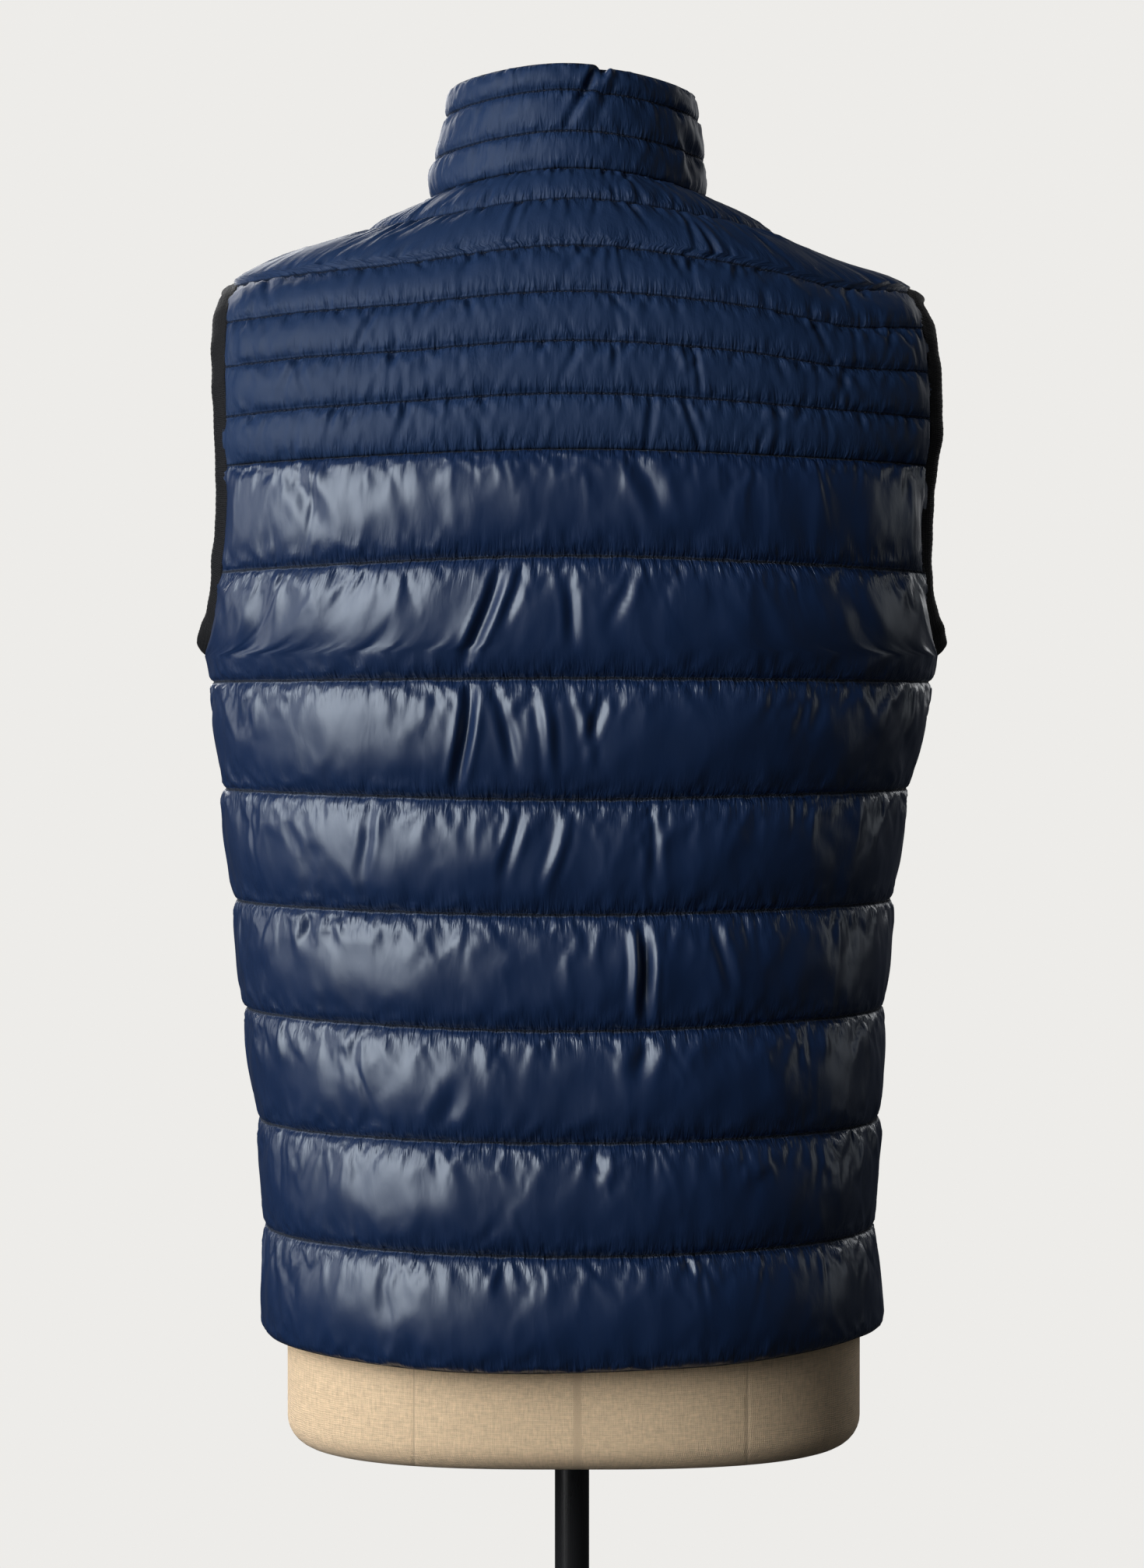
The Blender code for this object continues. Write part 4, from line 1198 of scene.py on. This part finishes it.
FLOOR_RADIUS, FLOOR_CENTRE, FLOOR_DROP, FLOOR_SIDES = 5.2, 2.55, 0.0004, 96
LIT_HEIGHT = 1.2  # the height that every lamp looks at
LAMPS = (  # name, azimuth, elevation, distance, size and power
    ("key_light", 50, 18, 2.6, (2.2, 3.3), 90.0),
    ("key_core", 47, 18, 2.55, (1.4, 1.9), 21.0),
    ("side_light", 97, 8, 2.6, (1.0, 1.4), 9.0),
    ("edge_light", -92, 8, 2.6, (0.8, 1.8), 4.0),
    ("front_light", 160, 25, 2.8, (2.0, 1.6), 70.0),
    ("front_fill", -140, 20, 2.8, (1.6, 1.6), 16.0),
)


def floor(colour):
    turns = np.linspace(0, 2 * math.pi, FLOOR_SIDES, endpoint=False)
    edge = [
        (FLOOR_RADIUS * math.cos(turn), FLOOR_RADIUS * math.sin(turn) + FLOOR_CENTRE, -FLOOR_DROP)
        for turn in turns
    ]
    finish = plain_paint("studio_floor", tinted(colour, 0.14), 0.85, glow=tinted(colour, 0.76))
    mesh = mesh_from("studio_floor", edge, [tuple(range(FLOOR_SIDES))], smooth=False)
    piece = link("studio_floor", mesh, finish)
    piece.visible_diffuse = piece.visible_glossy = False  # dark cloth takes no light from below


def world(colour):
    """The air shows pale behind the object but lights it only a little."""
    made = bpy.data.worlds.new("studio_air")
    made.use_nodes = True
    nodes = Nodes(made.node_tree)
    seen = nodes.add("ShaderNodeLightPath").outputs["Is Camera Ray"]
    shown = nodes.fill(made.node_tree.nodes["Background"], {"Color": (*colour, 1), "Strength": 1.0})
    dim = nodes.add("ShaderNodeBackground", {"Color": (0.9, 0.95, 1.0, 1), "Strength": 0.03})
    mixed = nodes.add("ShaderNodeMixShader", {0: seen, 1: dim.outputs[0], 2: shown.outputs[0]})
    nodes.fill(made.node_tree.nodes["World Output"], {"Surface": mixed.outputs[0]})
    bpy.context.scene.world = made


def lamp(name, azimuth, elevation, distance, size, power):
    """A soft light that looks at the gilet; its azimuth is taken from +Y towards +X, in degrees."""
    turn, rise = math.radians(azimuth), math.radians(elevation)
    way = Vector((math.sin(turn) * math.cos(rise), math.cos(turn) * math.cos(rise), math.sin(rise)))
    light = bpy.data.lights.new(name, "AREA")
    light.shape = "ELLIPSE"
    light.size, light.size_y = size
    light.energy = power
    made = link(name, light)
    made.location = Vector((0, 0, LIT_HEIGHT)) + way * distance
    made.rotation_euler = (-way).to_track_quat("-Z", "Y").to_euler()


def camera():
    lens = bpy.data.cameras.new("camera")
    lens.lens, lens.sensor_width, lens.sensor_fit = 86.5, 36.0, "AUTO"
    made = link("camera", lens)
    made.location = (0.0, 2.238, 1.216)
    made.rotation_euler = (math.radians(88.8), 0.0, math.pi)
    bpy.context.scene.camera = made


# ---------------------------------------------------------------- operators


class GiletOperator(bpy.types.Operator):
    """Base of the operators: finds the settings and makes the materials once."""

    bl_options = {"REGISTER", "UNDO"}

    def settings(self, context):
        finish_materials(context.scene.gilet_colours)
        return context.scene.gilet_sizes


class OBJECT_OT_gilet_back(GiletOperator):
    """Make the back's quilted body and yoke."""

    bl_idname = "object.gilet_back"
    bl_label = "Quilted back"

    def execute(self, context):
        sizes = self.settings(context)
        quilted_panel("quilted_back", "back_body", "body", 0.56, back_angles, sizes.body_puff, 11, sizes,
                      folds=BACK_FOLDS, shape=hung)
        quilted_panel("quilted_back_yoke", "back_yoke", "yoke", 0.58, back_angles, sizes.yoke_puff, 12,
                      sizes)
        return {"FINISHED"}


class OBJECT_OT_gilet_fronts(GiletOperator):
    """Make both fronts' quilted bodies and yokes."""

    bl_idname = "object.gilet_fronts"
    bl_label = "Quilted fronts"

    def execute(self, context):
        sizes = self.settings(context)
        for word, angles, seed in (("left", left_front_angles, 21), ("right", right_front_angles, 31)):
            quilted_panel(f"quilted_front_{word}", f"front_body_{word}", "body", 0.285, angles,
                          sizes.body_puff, seed, sizes, folds=FRONT_FOLDS)
            quilted_panel(f"quilted_front_yoke_{word}", f"front_yoke_{word}", "yoke", 0.285, angles,
                          sizes.yoke_puff, seed + 1, sizes)
        return {"FINISHED"}


class OBJECT_OT_gilet_collar(GiletOperator):
    """Make the stand-up collar."""

    bl_idname = "object.gilet_collar"
    bl_label = "Stand-up collar"

    def execute(self, context):
        sizes = self.settings(context)
        quilted_panel("quilted_collar", "collar", "collar", 0.46, collar_angles, sizes.collar_puff, 41,
                      sizes, folds=COLLAR_FOLDS, shape=notched)
        return {"FINISHED"}


class OBJECT_OT_gilet_bindings(GiletOperator):
    """Make the ribbed elastic round both armholes."""

    bl_idname = "object.gilet_bindings"
    bl_label = "Armhole bindings"

    def execute(self, context):
        self.settings(context)
        for word, side, seed in (("left", 1, 51), ("right", -1, 52)):
            armhole_binding(f"ribbed_binding_{word}", f"armhole_binding_{word}", side, seed)
        return {"FINISHED"}


class OBJECT_OT_gilet_zip(GiletOperator):
    """Make the zip's tapes and teeth, and finish its slider, pull tab and box."""

    bl_idname = "object.gilet_zip"
    bl_label = "Front zip"

    def execute(self, context):
        sizes = self.settings(context)
        for word, side in (("left", 1), ("right", -1)):
            zip_tape(f"woven_tape_{word}", f"zip_tape_{word}", side)
        zip_teeth(sizes)
        finish_nodes("zip_metal", "zip_slider", "zip_pull", "zip_box")
        return {"FINISHED"}


class OBJECT_OT_gilet_stitches(GiletOperator):
    """Make the quilting stitches along every seam of the panels that stand so far."""

    bl_idname = "object.gilet_stitches"
    bl_label = "Quilting stitches"

    def execute(self, context):
        sizes = self.settings(context)
        at_seams = {"gloss_nylon": ([], []), "satin_nylon": ([], [])}
        for kind, seams in QUILTS.values():
            style = QUILTING[kind]
            lines, normals = at_seams[style.slot]
            for k in range(1 if kind == "body" else 0, len(seams) - 1):
                line, row = seams[k][2:-2], float(style.first + k)
                theta = np.arctan2(line[:, 0] - RING["shift"](row), line[:, 1])
                out = ring_normals(row + (0.02 if k == 0 else 0), theta)
                lines.append(line + out * 0.12 * MM)
                normals.append(out)
        for name, slot in (("body_stitches", "gloss_nylon"), ("yoke_stitches", "satin_nylon")):
            stitches(name, *at_seams[slot], slot, sizes)
        return {"FINISHED"}


class OBJECT_OT_gilet_form(GiletOperator):
    """Make the linen-covered dress form and finish its pole and foot."""

    bl_idname = "object.gilet_form"
    bl_label = "Dress form"

    def execute(self, context):
        self.settings(context)
        dress_form("linen_torso")
        finish_nodes("black_steel", "stand_pole", "stand_foot")
        return {"FINISHED"}


class OBJECT_OT_gilet_stage(GiletOperator):
    """Make the floor, the air behind it, the lights and the camera."""

    bl_idname = "object.gilet_stage"
    bl_label = "Studio"

    def execute(self, context):
        self.settings(context)
        colour = tuple(context.scene.gilet_colours.backdrop)
        floor(colour)
        world(colour)
        for row in LAMPS:
            lamp(*row)
        camera()
        return {"FINISHED"}


class VIEW3D_PT_gilet(bpy.types.Panel):
    """Lists the gilet's settings and the pieces that can be made."""

    bl_idname = "VIEW3D_PT_gilet"
    bl_label = "Quilted gilet"
    bl_space_type = "VIEW_3D"
    bl_region_type = "UI"
    bl_category = "Gilet"

    def draw(self, context):
        for settings in (context.scene.gilet_sizes, context.scene.gilet_colours):
            for name in settings.__annotations__:
                self.layout.prop(settings, name)
        for operator in OPERATORS:
            self.layout.operator(operator.bl_idname)


OPERATORS = (
    OBJECT_OT_gilet_back,
    OBJECT_OT_gilet_fronts,
    OBJECT_OT_gilet_collar,
    OBJECT_OT_gilet_bindings,
    OBJECT_OT_gilet_zip,
    OBJECT_OT_gilet_stitches,
    OBJECT_OT_gilet_form,
    OBJECT_OT_gilet_stage,
)
CLASSES = (GiletSizes, GiletColours, *OPERATORS, VIEW3D_PT_gilet)


def register():
    for made in CLASSES:
        bpy.utils.register_class(made)
    bpy.types.Scene.gilet_sizes = PointerProperty(type=GiletSizes)
    bpy.types.Scene.gilet_colours = PointerProperty(type=GiletColours)


def unregister():
    del bpy.types.Scene.gilet_colours
    del bpy.types.Scene.gilet_sizes
    for made in reversed(CLASSES):
        bpy.utils.unregister_class(made)


def main():
    register()
    bpy.context.scene.view_settings.view_transform = "Standard"
    bpy.ops.object.gilet_back()
    bpy.ops.object.gilet_fronts()
    bpy.ops.object.gilet_collar()
    bpy.ops.object.gilet_bindings()
    bpy.ops.object.gilet_zip()
    bpy.ops.object.gilet_stitches()
    bpy.ops.object.gilet_form()
    bpy.ops.object.gilet_stage()


if __name__ == "__main__":
    main()
